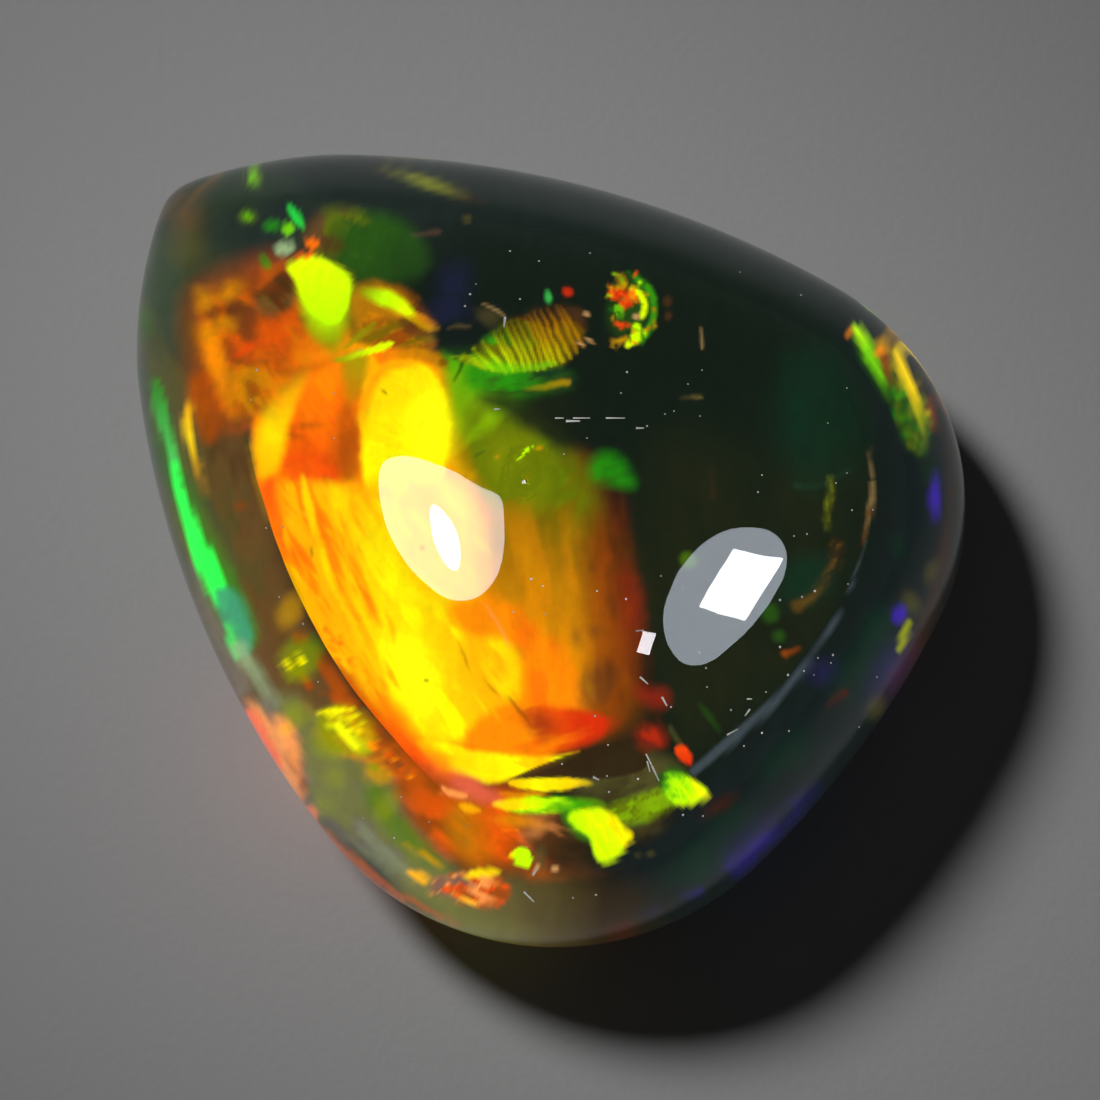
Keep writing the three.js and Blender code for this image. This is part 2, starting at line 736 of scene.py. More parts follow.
@dataclass(frozen=True)
class PaleDust:
    """The specks and lint: matt, pale and a little uneven."""

    light: Colour = (0.62, 0.61, 0.57, 1.0)
    dull: Colour = (0.06, 0.06, 0.05, 1.0)
    roughness: float = 0.8
    mottle_scale: float = 1500.0
    mottle_layers: float = 1.0

    def material(self) -> bpy.types.Material:
        """Make the material.

        Returns:
            The material, whose shade changes over every speck.
        """
        bench = Bench(bpy.data.materials.new("pale dust"))
        mottle = bench.noise(bench.place(UNSCALED), self.mottle_scale, self.mottle_layers)
        shade = bench.blend(mottle, self.light, self.dull)
        surface = bench.node(
            "ShaderNodeBsdfPrincipled", {}, {"Base Color": shade, "Roughness": self.roughness}
        )
        return bench.finish(surface)


class Surface:
    """A mesh's faces in millimetres, which rays can meet."""

    def __init__(self, meshes: Sequence[bpy.types.Mesh]) -> None:
        """Take in the faces of some meshes.

        Args:
            meshes: The meshes.
        """
        self.places: list[Vector] = []
        self.normals: list[Vector] = []
        self.faces: list[tuple[int, ...]] = []
        for mesh in meshes:
            first = len(self.places)
            self.places += [vert.co / METRES for vert in mesh.vertices]
            self.normals += [vert.normal.copy() for vert in mesh.vertices]
            self.faces += [tuple(first + i for i in face.vertices) for face in mesh.polygons]
        self.tree = BVHTree.FromPolygons(self.places, self.faces)

    def meet(self, start: Vector, toward: Vector) -> tuple[Vector, Vector] | None:
        """Find where a ray meets the surface.

        Args:
            start: The ray's start.
            toward: Its direction.

        Returns:
            The point and the smooth normal there, or None where the ray misses.
        """
        point, _, index, _ = self.tree.ray_cast(start, toward)
        if point is None:
            return None
        corners = self.faces[index]
        weights = poly_3d_calc([self.places[i] for i in corners], point)
        normal = Vector((0.0, 0.0, 0.0))
        for i, weight in zip(corners, weights):
            normal += self.normals[i] * weight
        return point, normal.normalized()


@dataclass
class Sight:
    """The eye: where the camera stands, and what its rays meet in and on the stone."""

    elevation: float = 79.0
    lens: float = 160.0
    sensor: float = 36.0
    frame_pixels: float = 1100.0
    pixels_per_mm: float = 55.6
    target: tuple[float, float, float] = (0.0, -0.08, 2.4)
    ior: float = 1.45
    start_inside: float = 0.02
    clip: tuple[float, float] = (1.0, 10000.0)

    def __post_init__(self) -> None:
        """Work out the camera's axes and distance."""
        tilt = math.radians(self.elevation)
        self.back = Vector((0.0, -math.cos(tilt), math.sin(tilt)))
        self.up = Vector((0.0, math.sin(tilt), math.cos(tilt)))
        self.right = Vector((1.0, 0.0, 0.0))
        self.per_pixel = self.sensor / self.lens / self.frame_pixels
        self.distance = 1.0 / (self.pixels_per_mm * self.per_pixel)
        self.eye = Vector(self.target) + self.back * self.distance

    def look_at(self, dome: bpy.types.Mesh, inner: Sequence[bpy.types.Mesh]) -> None:
        """Take in the surfaces that the rays meet.

        Args:
            dome: The stone's outside.
            inner: The surfaces that carry the flashes.
        """
        self.dome = Surface([dome])
        self.inner = Surface(inner)

    def ray(self, pixel: Pixel) -> Vector:
        """Give the direction from the eye through a pixel.

        Args:
            pixel: The pixel.

        Returns:
            The direction, one long.
        """
        half = self.frame_pixels / 2
        across = self.right * ((pixel[0] - half) * self.per_pixel)
        return (across + self.up * ((half - pixel[1]) * self.per_pixel) - self.back).normalized()

    def land(self, pixel: Pixel) -> Vector | None:
        """Follow a pixel's ray through the dome to the inner surface it shows.

        Args:
            pixel: The pixel.

        Returns:
            The point, or None where the ray misses.
        """
        met = self.dome.meet(self.eye, self.ray(pixel))
        if met is None:
            return None
        point, normal = met
        inward = (point - self.eye).normalized()
        ratio = 1.0 / self.ior
        facing = -inward.dot(normal)
        if facing <= 0:
            return None
        bent = ratio * inward + (ratio * facing - math.sqrt(1 - ratio**2 * (1 - facing**2))) * normal
        return self.inner.tree.ray_cast(point - normal * self.start_inside, bent)[0]

    def glance(self, pixel: Pixel) -> tuple[Vector, Vector]:
        """Find where a light stands whose reflection shows at a pixel.

        Args:
            pixel: The pixel, which is on the stone.

        Returns:
            The point of the dome, and the direction from it to the light.
        """
        point, normal = self.dome.meet(self.eye, self.ray(pixel))
        inward = (point - self.eye).normalized()
        return point, inward - 2 * inward.dot(normal) * normal

    def camera(self) -> bpy.types.Object:
        """Make the camera.

        Returns:
            The camera's object, set as the scene's camera.
        """
        data = bpy.data.cameras.new("camera")
        data.lens = self.lens
        data.sensor_width = self.sensor
        data.clip_start, data.clip_end = (end * METRES for end in self.clip)
        made = bpy.data.objects.new("camera", data)
        made.location = self.eye * METRES
        made.rotation_euler = (math.radians(90.0 - self.elevation), 0.0, 0.0)
        bpy.context.scene.collection.objects.link(made)
        bpy.context.scene.camera = made
        return made


class SeenMap:
    """Says at which pixel each point of the inner surfaces shows through the dome."""

    def __init__(self, sight: Sight, step: float = 2.2) -> None:
        """Send a ray through every few pixels.

        Args:
            sight: The eye.
            step: The pixels from one ray to the next.
        """
        cells, half = round(sight.frame_pixels / step), sight.frame_pixels / 2
        shaped = bmesh.new()
        bmesh.ops.create_grid(shaped, x_segments=cells, y_segments=cells, size=half)
        shown, missed = {}, []
        for vert in shaped.verts:
            pixel = (vert.co.x + half, half - vert.co.y)
            landed = sight.land(pixel)
            if landed is None:
                missed.append(vert)
            else:
                shown[vert] = pixel
                vert.co = (landed.x, landed.y, 0.0)
        bmesh.ops.delete(shaped, geom=missed, context="VERTS")
        bmesh.ops.triangulate(shaped, faces=shaped.faces)
        shaped.verts.index_update()
        places = [vert.co.copy() for vert in shaped.verts]
        corners = np.array([[vert.index for vert in face.verts] for face in shaped.faces])
        pixels = np.array([shown[vert] for vert in shaped.verts])
        shaped.free()
        # Where the view folds over near the rim, faces turn upside down and are left out.
        plan = np.array([place.xy for place in places])[corners]
        one, two = plan[:, 1] - plan[:, 0], plan[:, 2] - plan[:, 0]
        upright = one[:, 0] * two[:, 1] - one[:, 1] * two[:, 0] > 0
        corners = corners[upright if upright.mean() > 0.5 else ~upright]
        self.tree = BVHTree.FromPolygons(places, corners.tolist())
        self.plan = np.array([place.xy for place in places])[corners]
        self.pixels = pixels[corners]

    def read(self, points: np.ndarray) -> np.ndarray:
        """Give the pixels at which points show.

        Args:
            points: Rows of x and y in plan.

        Returns:
            A row of x and y in pixels for each.
        """
        found = [self.tree.find_nearest((x, y, 0.0)) for x, y in points]
        faces = np.array([row[2] for row in found])
        spots = np.array([row[0].xy for row in found])
        start = self.plan[faces, 0]
        one, two, gap = self.plan[faces, 1] - start, self.plan[faces, 2] - start, spots - start
        whole = one[:, 0] * two[:, 1] - one[:, 1] * two[:, 0]
        whole = np.where(np.abs(whole) < NO_AREA, NO_AREA, whole)
        second = (gap[:, 0] * two[:, 1] - gap[:, 1] * two[:, 0]) / whole
        third = (one[:, 0] * gap[:, 1] - one[:, 1] * gap[:, 0]) / whole
        weights = np.column_stack([1 - second - third, second, third])
        return np.einsum("nk,nkd->nd", np.clip(weights, 0.0, 1.0), self.pixels[faces])


class Grain:
    """Seeded smooth noise over the frame."""

    LAYERS = (1.0, 2.1, 4.3)
    LAYER_FADE = 0.8
    TALLEST = 1.2
    SHIFT = 40.0

    def __init__(self, seed: int, cells: int = 128) -> None:
        """Draw the lattice.

        Args:
            seed: The random seed.
            cells: How many cells the lattice has each way before it repeats.
        """
        self.cells = cells
        self.lattice = np.random.default_rng(seed).uniform(-1.0, 1.0, (cells, cells))

    def one(self, x: np.ndarray, y: np.ndarray) -> np.ndarray:
        """Read one layer of noise.

        Args:
            x: Where, in cells across.
            y: Where, in cells down.

        Returns:
            Values from -1 to 1.
        """
        column, row = np.floor(x).astype(int), np.floor(y).astype(int)
        right, up = x - column, y - row
        right, up = right * right * (3 - 2 * right), up * up * (3 - 2 * up)
        column, row = column % self.cells, row % self.cells
        beyond, above = (column + 1) % self.cells, (row + 1) % self.cells
        low = self.lattice[row, column] * (1 - right) + self.lattice[row, beyond] * right
        high = self.lattice[above, column] * (1 - right) + self.lattice[above, beyond] * right
        return low * (1 - up) + high * up

    def read(self, points: np.ndarray, along: float, across: float, turn: float = 0.0) -> np.ndarray:
        """Read three layers of noise, stretched along one direction.

        Args:
            points: Where, in pixels.
            along: The size of a cell along the direction.
            across: Its size across it.
            turn: The direction, in degrees anticlockwise from the right as seen.

        Returns:
            Values from about -1 to 1.
        """
        cos, sin = math.cos(math.radians(turn)), -math.sin(math.radians(turn))
        x = (points[:, 0] * cos + points[:, 1] * sin) / along + self.SHIFT
        y = (points[:, 1] * cos - points[:, 0] * sin) / across + self.SHIFT
        layers = [self.one(x * fine, y * fine) / fine**self.LAYER_FADE for fine in self.LAYERS]
        return sum(layers) / self.TALLEST


def smooth_step(low: float, high: float, value: np.ndarray) -> np.ndarray:
    """Rise smoothly from 0 at low to 1 at high."""
    share = np.clip((value - low) / (high - low), 0.0, 1.0)
    return share * share * (3 - 2 * share)


def cut_corners(
    points: np.ndarray, closed: bool, times: int = 2, share: float = 0.25
) -> np.ndarray:
    """Round a line or an area by cutting its corners.

    Args:
        points: Its points in order.
        closed: True for an area.
        times: How often every corner is cut.
        share: How far along each side a cut goes.

    Returns:
        The rounded points.
    """
    for _ in range(times):
        ends = np.roll(points, -1, axis=0) if closed else points[1:]
        starts = points if closed else points[:-1]
        near = starts * (1 - share) + ends * share
        far = starts * share + ends * (1 - share)
        cut = np.stack([near, far], 1).reshape(-1, points.shape[1])
        points = cut if closed else np.vstack([points[:1], cut, points[-1:]])
    return points


def to_line(
    points: np.ndarray, start: np.ndarray, end: np.ndarray
) -> tuple[np.ndarray, np.ndarray]:
    """Measure points against a straight stretch.

    Args:
        points: The points.
        start: The stretch's start.
        end: Its end.

    Returns:
        Each point's distance to it, and its place along it from 0 to 1.
    """
    along = end - start
    share = np.clip((points - start) @ along / max(along @ along, SAME_PLACE), 0.0, 1.0)
    gap = points - start - share[:, None] * along
    return np.hypot(gap[:, 0], gap[:, 1]), share


@dataclass(frozen=True)
class Veins:
    """Streaky noise that breaks a flash up, in pixels and degrees anticlockwise as seen."""

    turn: float
    length: float
    width: float
    depth: float
    seed: int = 1
    edge: float = 0.4


@dataclass(frozen=True)
class Flash:
    """One flash of colour, drawn by pixels of the frame as seen through the dome.

    Several hues are blended in order, along fade where it is given and by the veins where they
    are. With one hue, the veins thin the flash out. It dies away along vanish.
    """

    name: str
    pixels: tuple[tuple[float, ...], ...]
    hues: tuple[Hue, ...]
    soft: float = 8.0
    strength: float = 1.0
    side: Side = Side.BOTH
    fade: tuple[Pixel, Pixel] | None = None
    vanish: tuple[Pixel, Pixel] | None = None
    veins: Veins | None = None
    ragged: float = 2.0

    def reach(self) -> float:
        """Give how far the flash spreads beyond its pixels."""
        return self.soft + 2 * self.ragged

    def cover(self, points: np.ndarray) -> np.ndarray:
        """Give how much of each point the flash covers.

        Args:
            points: Rows of x and y in pixels.

        Returns:
            A value from 0 to 1 for each.
        """
        raise NotImplementedError

    @staticmethod
    def along(points: np.ndarray, ends: tuple[Pixel, Pixel]) -> np.ndarray:
        """Give each point's place between two pixels, from 0 to 1."""
        start, run = np.array(ends[0]), np.array(ends[1]) - np.array(ends[0])
        return np.clip((points - start) @ run / (run @ run), 0.0, 1.0)


@dataclass(frozen=True)
class Patch(Flash):
    """An area whose outline is the pixels."""

    def cover(self, points: np.ndarray) -> np.ndarray:
        """Give how much of each point the patch covers.

        Args:
            points: Rows of x and y in pixels.

        Returns:
            A value from 0 to 1 for each.
        """
        outline = cut_corners(np.array(self.pixels, float), closed=True)
        x, y = points.T
        inside = np.zeros(len(points), bool)
        best = np.full(len(points), np.inf)
        for start, end in zip(outline, np.roll(outline, -1, axis=0)):
            best = np.minimum(best, to_line(points, start, end)[0])
            if start[1] != end[1]:
                cross = start[0] + (end[0] - start[0]) * (y - start[1]) / (end[1] - start[1])
                inside ^= ((start[1] > y) != (end[1] > y)) & (x < cross)
        return smooth_step(-self.soft / 2, self.soft / 2, np.where(inside, best, -best))


@dataclass(frozen=True)
class Streak(Flash):
    """A line through the pixels, whose width runs through the given widths."""

    widths: tuple[float, ...] = (4.0,)

    def reach(self) -> float:
        """Give how far the streak spreads beyond its pixels."""
        return self.soft + 2 * self.ragged + max(self.widths)

    def cover(self, points: np.ndarray) -> np.ndarray:
        """Give how much of each point the streak covers.

        Args:
            points: Rows of x and y in pixels.

        Returns:
            A value from 0 to 1 for each.
        """
        line = cut_corners(np.array(self.pixels, float), closed=False)
        stops = np.linspace(0, 1, len(self.widths))
        halves = np.interp(np.linspace(0, 1, len(line)), stops, self.widths) / 2
        edge = self.soft / 2
        cover = np.zeros(len(points))
        for start, end, half, next_half in zip(line, line[1:], halves, halves[1:]):
            gap, share = to_line(points, start, end)
            wide = half + (next_half - half) * share
            here = smooth_step(-edge, edge, wide - gap) * np.minimum(1.0, wide / edge)
            cover = np.maximum(cover, here)
        return cover


@dataclass(frozen=True)
class Dots(Flash):
    """Ellipses, each given by x, y, width, height and turn in degrees anticlockwise as seen."""

    def reach(self) -> float:
        """Give how far the dots spread beyond their pixels."""
        return self.soft + 2 * self.ragged + max(max(row[2:4]) for row in self.pixels)

    def cover(self, points: np.ndarray) -> np.ndarray:
        """Give how much of each point the dots cover.

        Args:
            points: Rows of x and y in pixels.

        Returns:
            A value from 0 to 1 for each.
        """
        cover = np.zeros(len(points))
        for x, y, width, height, turn in self.pixels:
            cos, sin = math.cos(math.radians(turn)), -math.sin(math.radians(turn))
            gap = points - (x, y)
            across = (gap[:, 0] * cos + gap[:, 1] * sin) / (width / 2)
            down = (gap[:, 1] * cos - gap[:, 0] * sin) / (height / 2)
            inside = (1 - np.hypot(across, down)) * min(width, height) / 2
            cover = np.maximum(cover, smooth_step(-self.soft / 2, self.soft / 2, inside))
        return cover


@dataclass(frozen=True)
class Wisps:
    """Many thin tapered streaks scattered over an area."""

    name: str
    area: tuple[Pixel, ...]
    hues: tuple[Hue, ...]
    count: int
    length: Pixel
    width: Pixel
    turn: float
    spread: float
    seed: int
    strength: float = 0.8
    side: Side = Side.BOTH
    soft: float = 2.5
    bow: float = 0.12
    faintest: float = 0.4
    tip: float = 0.4

    def streaks(self) -> list[Streak]:
        """Scatter the streaks.

        Returns:
            The streaks, the same on every run.
        """
        draw = np.random.default_rng(self.seed)
        outline = np.array(self.area, float)
        area = Patch(self.name, self.area, self.hues, soft=1.0)
        made = []
        while len(made) < self.count:
            middle = draw.uniform(outline.min(0), outline.max(0))
            if draw.random() > area.cover(middle[None])[0]:
                continue
            turn = math.radians(self.turn + draw.normal(0.0, self.spread))
            half = draw.uniform(*self.length) / 2
            run = np.array([math.cos(turn), -math.sin(turn)]) * half
            bow = np.array([run[1], -run[0]]) * draw.normal(0.0, self.bow)
            ends = (tuple(middle - run), tuple(middle + bow), tuple(middle + run))
            wide = draw.uniform(*self.width)
            hue = self.hues[draw.integers(len(self.hues))]
            strength = self.strength * draw.uniform(self.faintest, 1.0)
            made.append(Streak(
                self.name, ends, (hue,), self.soft, strength, self.side, ragged=1.0,
                widths=(self.tip, wide, self.tip),
            ))
        return made


class Painter:
    """Lays flashes over the points of one inner surface, each over those before it.

    Their outlines waver by layers of noise. Each layer has a seed across and a seed down, and the
    size and depth of its waves in pixels.
    """

    WAVES = ((71, 72, 26.0, 0.75), (73, 74, 8.0, 0.4))

    def __init__(self, side: Side, pixels: np.ndarray, ground: Hue) -> None:
        """Start with an even ground.

        Args:
            side: Which surface this is.
            pixels: Where each of its points shows.
            ground: Its colour where no flash lies.
        """
        self.side = side
        self.pixels = pixels
        self.colour = np.tile(ground.linear(), (len(pixels), 1))
        self.waver = sum(
            np.column_stack([Grain(seed).read(pixels, size, size) for seed in seeds]) * depth
            for *seeds, size, depth in self.WAVES
        )

    def lay(self, flash: Flash) -> None:
        """Paint one flash.

        Args:
            flash: The flash.
        """
        if flash.side not in (self.side, Side.BOTH):
            return
        corners = np.array([row[:2] for row in flash.pixels])
        low, high = corners.min(0) - flash.reach(), corners.max(0) + flash.reach()
        near = np.flatnonzero(np.all((self.pixels > low) & (self.pixels < high), axis=1))
        if not len(near):
            return
        log.debug("%s: %d points of the %s", flash.name, len(near), self.side.value)
        points = self.pixels[near]
        cover = flash.cover(points + self.waver[near] * flash.ragged) * flash.strength
        tone = np.full(len(points), 0.5 if len(flash.hues) > 1 else 0.0)
        if flash.fade is not None:
            tone = flash.along(points, flash.fade)
        if flash.vanish is not None:
            cover = cover * (1 - flash.along(points, flash.vanish))
        if flash.veins is not None:
            veins = flash.veins
            read = Grain(veins.seed).read(points, veins.length, veins.width, veins.turn)
            if len(flash.hues) > 1:
                tone = tone + (smooth_step(-veins.edge, veins.edge, read) - 0.5) * veins.depth
            else:
                cover = cover * (1 - veins.depth * smooth_step(-veins.edge, veins.edge, read))
        stops = np.linspace(0, 1, len(flash.hues)) if len(flash.hues) > 1 else np.zeros(1)
        ramp = np.array([hue.linear() for hue in flash.hues])
        hue = np.column_stack([np.interp(tone, stops, ramp[:, k]) for k in range(3)])
        self.colour[near] = self.colour[near] * (1 - cover[:, None]) + hue * cover[:, None]

    def store(self, mesh: bpy.types.Mesh) -> None:
        """Keep the colours on the mesh as its own attribute.

        Args:
            mesh: The surface's mesh.
        """
        data = mesh.attributes.new("fire", "FLOAT_COLOR", "POINT").data
        rows = np.column_stack([self.colour, np.ones(len(self.colour))])
        data.foreach_set("color", rows.ravel().astype(np.float32))


BACK, WALL, BOTH = Side.BACK, Side.WALL, Side.BOTH
Marks = tuple[Flash | Wisps, ...]


def stripes() -> list[Flash]:
    """Give the striped patch's close bars, which lean to the left going up.

    Returns:
        A pale bar and a dark bar for each step along the patch.
    """
    top_edge = ((462, 356), (486, 338), (508, 322), (530, 312), (552, 304), (572, 305), (586, 316))
    low_edge = ((470, 364), (500, 371), (540, 370), (572, 358), (590, 338))
    first, step, count, stray = 474.0, 6.4, 18, 1.2
    lean, least_lean, most_lean = 22.0, 0.8, 1.15
    bow, dark_drop = 1.5, 2.0
    faint_pale, faint_dark, full_dark = 0.55, 0.4, 0.85
    draw = np.random.default_rng(811)
    made = []
    for i in range(count):
        foot = first + i * step + draw.uniform(-stray, stray)
        head = foot - lean * draw.uniform(least_lean, most_lean)
        low = float(np.interp(foot, *zip(*low_edge)))
        high = float(np.interp(head, *zip(*top_edge)))
        middle = ((head + foot) / 2 + bow, (high + low) / 2)
        pale = ((head, high), middle, (foot, low))
        dark = tuple((x + step / 2, y + dark_drop) for x, y in pale)
        made.append(Streak(
            "pale bar", pale, (Hue.BRASS, Hue.GOLD, Hue.CITRUS), 4, draw.uniform(faint_pale, 1.0), BACK,
            fade=((540, 304), (524, 366)), widths=(1, 4.5, 2.5), ragged=2.0,
        ))
        made.append(Streak(
            "dark bar", dark, (Hue.NIGHT,), 4, draw.uniform(faint_dark, full_dark), BACK,
            widths=(4, 3.5, 1), ragged=2.0,
        ))
    return made


# The body's broad tones and the painted reflection along its top rim, which lie under all the others.
BROAD_TONES: Marks = (
    # Painted reflection: the dark grey band along the top stands for the grey surroundings mirrored in the
    # dome near its rim.
    Patch("top rim reflection", ((150, 260), (190, 150), (330, 130), (560, 140), (760, 200), (880, 280), (940, 360),
          (900, 360), (780, 290), (620, 250), (440, 240), (280, 250), (200, 320)), (Hue.SLATE,), 110, 0.8),
    Patch("right wall", ((820, 300), (960, 380), (980, 560), (900, 720), (700, 930), (600, 960), (560, 900),
          (690, 790), (840, 640), (890, 500), (870, 400)), (Hue.NAVY,), 60, 0.9, WALL),
    Patch("left shade", ((120, 240), (230, 230), (250, 330), (262, 470), (300, 620), (360, 720), (330, 780),
          (250, 760), (170, 560), (130, 400)), (Hue.LICHEN, Hue.MUD, Hue.BARK), 40, 0.95,
          fade=((170, 300), (290, 640)), veins=Veins(-65, 120, 26, 0.5, 3)),
    # Partly the body's own dim tone and partly painted reflection: the grey that grows towards the upper
    # left rim.
    Patch("upper left tone and reflection", ((140, 330), (160, 200), (250, 150), (340, 150), (330, 240), (250, 290),
          (200, 340)), (Hue.LICHEN, Hue.SLATE), 60, 0.75, fade=((170, 330), (330, 170)),
          veins=Veins(30, 70, 40, 0.5, 6)),
    Patch("lower left haze", ((244, 700), (310, 690), (380, 750), (420, 830), (460, 880), (430, 905),
          (340, 840), (280, 770)), (Hue.HAZE, Hue.SMOKE, Hue.KHAKI), 30, 0.92, WALL,
          veins=Veins(-48, 90, 24, 0.8, 4)),
    Patch("bottom olive", ((380, 870), (460, 880), (520, 870), (620, 880), (680, 900), (650, 960),
          (470, 960)), (Hue.KHAKI, Hue.BRONZE, Hue.COFFEE, Hue.INK), 50, 0.9,
          fade=((430, 900), (690, 930))),
    Patch("right body", ((640, 430), (720, 420), (860, 440), (860, 560), (800, 680), (700, 760),
          (640, 720)), (Hue.SOOT,), 80, 0.8, BACK, veins=Veins(-70, 90, 50, 0.4, 5)),
    Patch("right back green", ((640, 340), (790, 330), (830, 420), (800, 480), (700, 450)), (Hue.INK,), 90,
          0.8, BACK),
    Patch("top dark green", ((440, 225), (640, 250), (760, 300), (760, 380), (600, 300), (470, 275)),
          (Hue.INK,), 70, 0.8),
)

# The faint tints of the wall on the right and at the bottom.
WALL_TINTS: Marks = (
    Dots("wall greens", ((860, 668, 70, 34, 55), (786, 758, 60, 30, 40), (728, 822, 50, 26, 30),
         (702, 850, 60, 24, 30), (776, 600, 36, 50, 20)), (Hue.PINE,), 34, 0.5, WALL, ragged=6),
    Dots("wall teals", ((878, 625, 40, 28, 60), (700, 870, 60, 20, 25)), (Hue.PINE,), 22, 0.5, WALL),
    Dots("wall indigos", ((892, 670, 60, 30, 60), (822, 672, 26, 20, 0), (760, 840, 70, 30, 35)),
         (Hue.INDIGO,), 26, 0.6, WALL),
    Streak("violet hem", ((822, 786), (790, 812), (742, 866), (690, 898), (650, 918)), (Hue.VIOLET,), 22,
           0.36, WALL, widths=(4, 12, 18, 12, 4), veins=Veins(38, 26, 14, 1.0, 8)),
    Dots("violet spots", ((900, 616, 12, 18, -14), (937, 496, 9, 38, 0)), (Hue.VIOLET,), 8, 0.95, WALL),
    Streak("acid dash", ((910, 624), (905, 638), (900, 650)), (Hue.OLIVE,), 5, 0.85, WALL,
           widths=(6, 8, 4)),
    Dots("acid haze", ((912, 604, 16, 24, 20), (933, 572, 10, 20, -20), (876, 710, 14, 22, -20)),
         (Hue.MUD,), 12, 0.5, WALL),
    Streak("brown rim", ((954, 430), (954, 520), (932, 620), (906, 668), (880, 705)), (Hue.BARK, Hue.RUST),
           14, 0.09, WALL, widths=(8, 10, 14, 16, 6), fade=((954, 480), (925, 640)),
           veins=Veins(-80, 40, 12, 0.8, 9)),
    Streak("rust scratch", ((828, 706), (845, 694)), (Hue.MAROON,), 7, 0.8, WALL, widths=(3, 8)),
    Dots("dim rust", ((622, 932, 26, 14, 20), (720, 806, 30, 10, 30)), (Hue.MAROON,), 12, 0.6, WALL),
    Streak("dim green line", ((636, 858), (656, 854)), (Hue.MUD,), 4, 0.8, WALL, widths=(2, 3)),
    # Painted reflection: a grey veil along the left rim, for the grey surroundings mirrored at the rim.
    Streak("left rim reflection grey", ((136, 330), (140, 420), (158, 500), (180, 570), (204, 632), (234, 692)),
           (Hue.RIM,), 14, 0.4, WALL, widths=(10, 14, 14, 14, 12, 8)),
    Streak("left rim brown", ((190, 560), (204, 604), (224, 650), (242, 690)), (Hue.SMOKE,), 10, 0.7, WALL,
           widths=(6, 12, 10, 14)),
    Dots("bottom haze", ((480, 930, 90, 26, -8), (440, 907, 30, 8, -30)), (Hue.KHAKI,), 20, 0.35, WALL),
)

# The dim flashes on the right half of the back, and the painted highlight along its edge.
RIGHT_OF_THE_BACK: Marks = (
    Patch("emerald gloom", ((785, 350), (835, 348), (862, 400), (862, 450), (846, 470), (812, 488),
          (790, 470), (776, 420)), (Hue.BOTTLE, Hue.PINE), 56, 0.6, veins=Veins(80, 50, 24, 0.8, 12)),
    Dots("emerald spots", ((795, 405, 12, 18, 20), (795, 430, 12, 20, -20)), (Hue.BOTTLE,), 10, 0.8, BACK),
    Streak("pale lower edge", ((797, 485), (822, 486), (852, 468)), (Hue.TEAL,), 7, 0.06, BACK,
           widths=(6, 3, 3)),
    Dots("low dark green", ((806, 580, 60, 44, 40),), (Hue.PINE,), 30, 0.7, BACK),
    # Painted highlight: the thin pale line where the back's edge shows at the upper right, tinted tan.
    Streak("tan edge glint high", ((869, 446), (873, 476)), (Hue.TAN,), 4, 0.45, widths=(2, 4)),
    Streak("tan edge glint middle", ((873, 482), (873, 500), (868, 522), (863, 546)), (Hue.TAN, Hue.CHESTNUT), 4,
           0.5, widths=(4, 6, 4, 2), fade=((873, 490), (863, 545)), veins=Veins(-88, 20, 3, 0.6, 15)),
    Streak("olive streak", ((831, 476), (828, 505), (828, 528)), (Hue.OLIVE,), 7, 0.6, BACK,
           widths=(4, 7, 4), veins=Veins(85, 14, 4, 0.7, 14)),
    Streak("rust diagonal", ((838, 548), (834, 570), (816, 592), (798, 606)), (Hue.UMBER, Hue.BRASS), 12,
           0.38, BACK, widths=(12, 8, 6, 8), fade=((838, 548), (800, 604)),
           veins=Veins(50, 16, 5, 0.8, 16)),
    Dots("low green spots", ((771, 614, 18, 20, 0), (780, 637, 12, 12, 0)), (Hue.FOREST,), 9, 0.7, BACK),
    Streak("red brown scratch", ((786, 655), (800, 649)), (Hue.BRICK,), 6, 0.5, BACK, widths=(6, 3)),
    Streak("rust streak", ((714, 470), (712, 496)), (Hue.UMBER,), 8, 0.5, BACK, widths=(3, 5)),
    Streak("olive scratch", ((682, 397), (701, 397)), (Hue.BRONZE,), 4, 0.9, BACK, widths=(3, 4)),
    Streak("green scratch", ((700, 704), (712, 718), (720, 732)), (Hue.FOREST,), 6, 0.5, BACK,
           widths=(3, 6, 3)),
    Streak("moss scratch", ((671, 727), (680, 744)), (Hue.MUD,), 5, 0.7, BACK, widths=(4, 5)),
    Dots("sheen green", ((688, 560, 16, 18, 30),), (Hue.MOSS,), 8, 0.7, BACK),
    # Painted highlight: a thin pale line that widens to a band along the back's rounded edge, where it
    # catches the light.
    Streak("back edge glint", ((866, 540), (860, 560), (850, 590), (838, 617), (818, 650), (800, 676)),
           (Hue.GLINT,), 2.5, 0.55, widths=(1.2, 1.6, 2, 2.5, 3.5, 4.5), ragged=0.3),
    Streak("back edge highlight band", ((812, 660), (786, 690), (757, 719), (726, 745), (694, 772)), (Hue.GLINT,), 5,
           0.6, widths=(4, 7, 9, 9, 8), ragged=0.3),
)

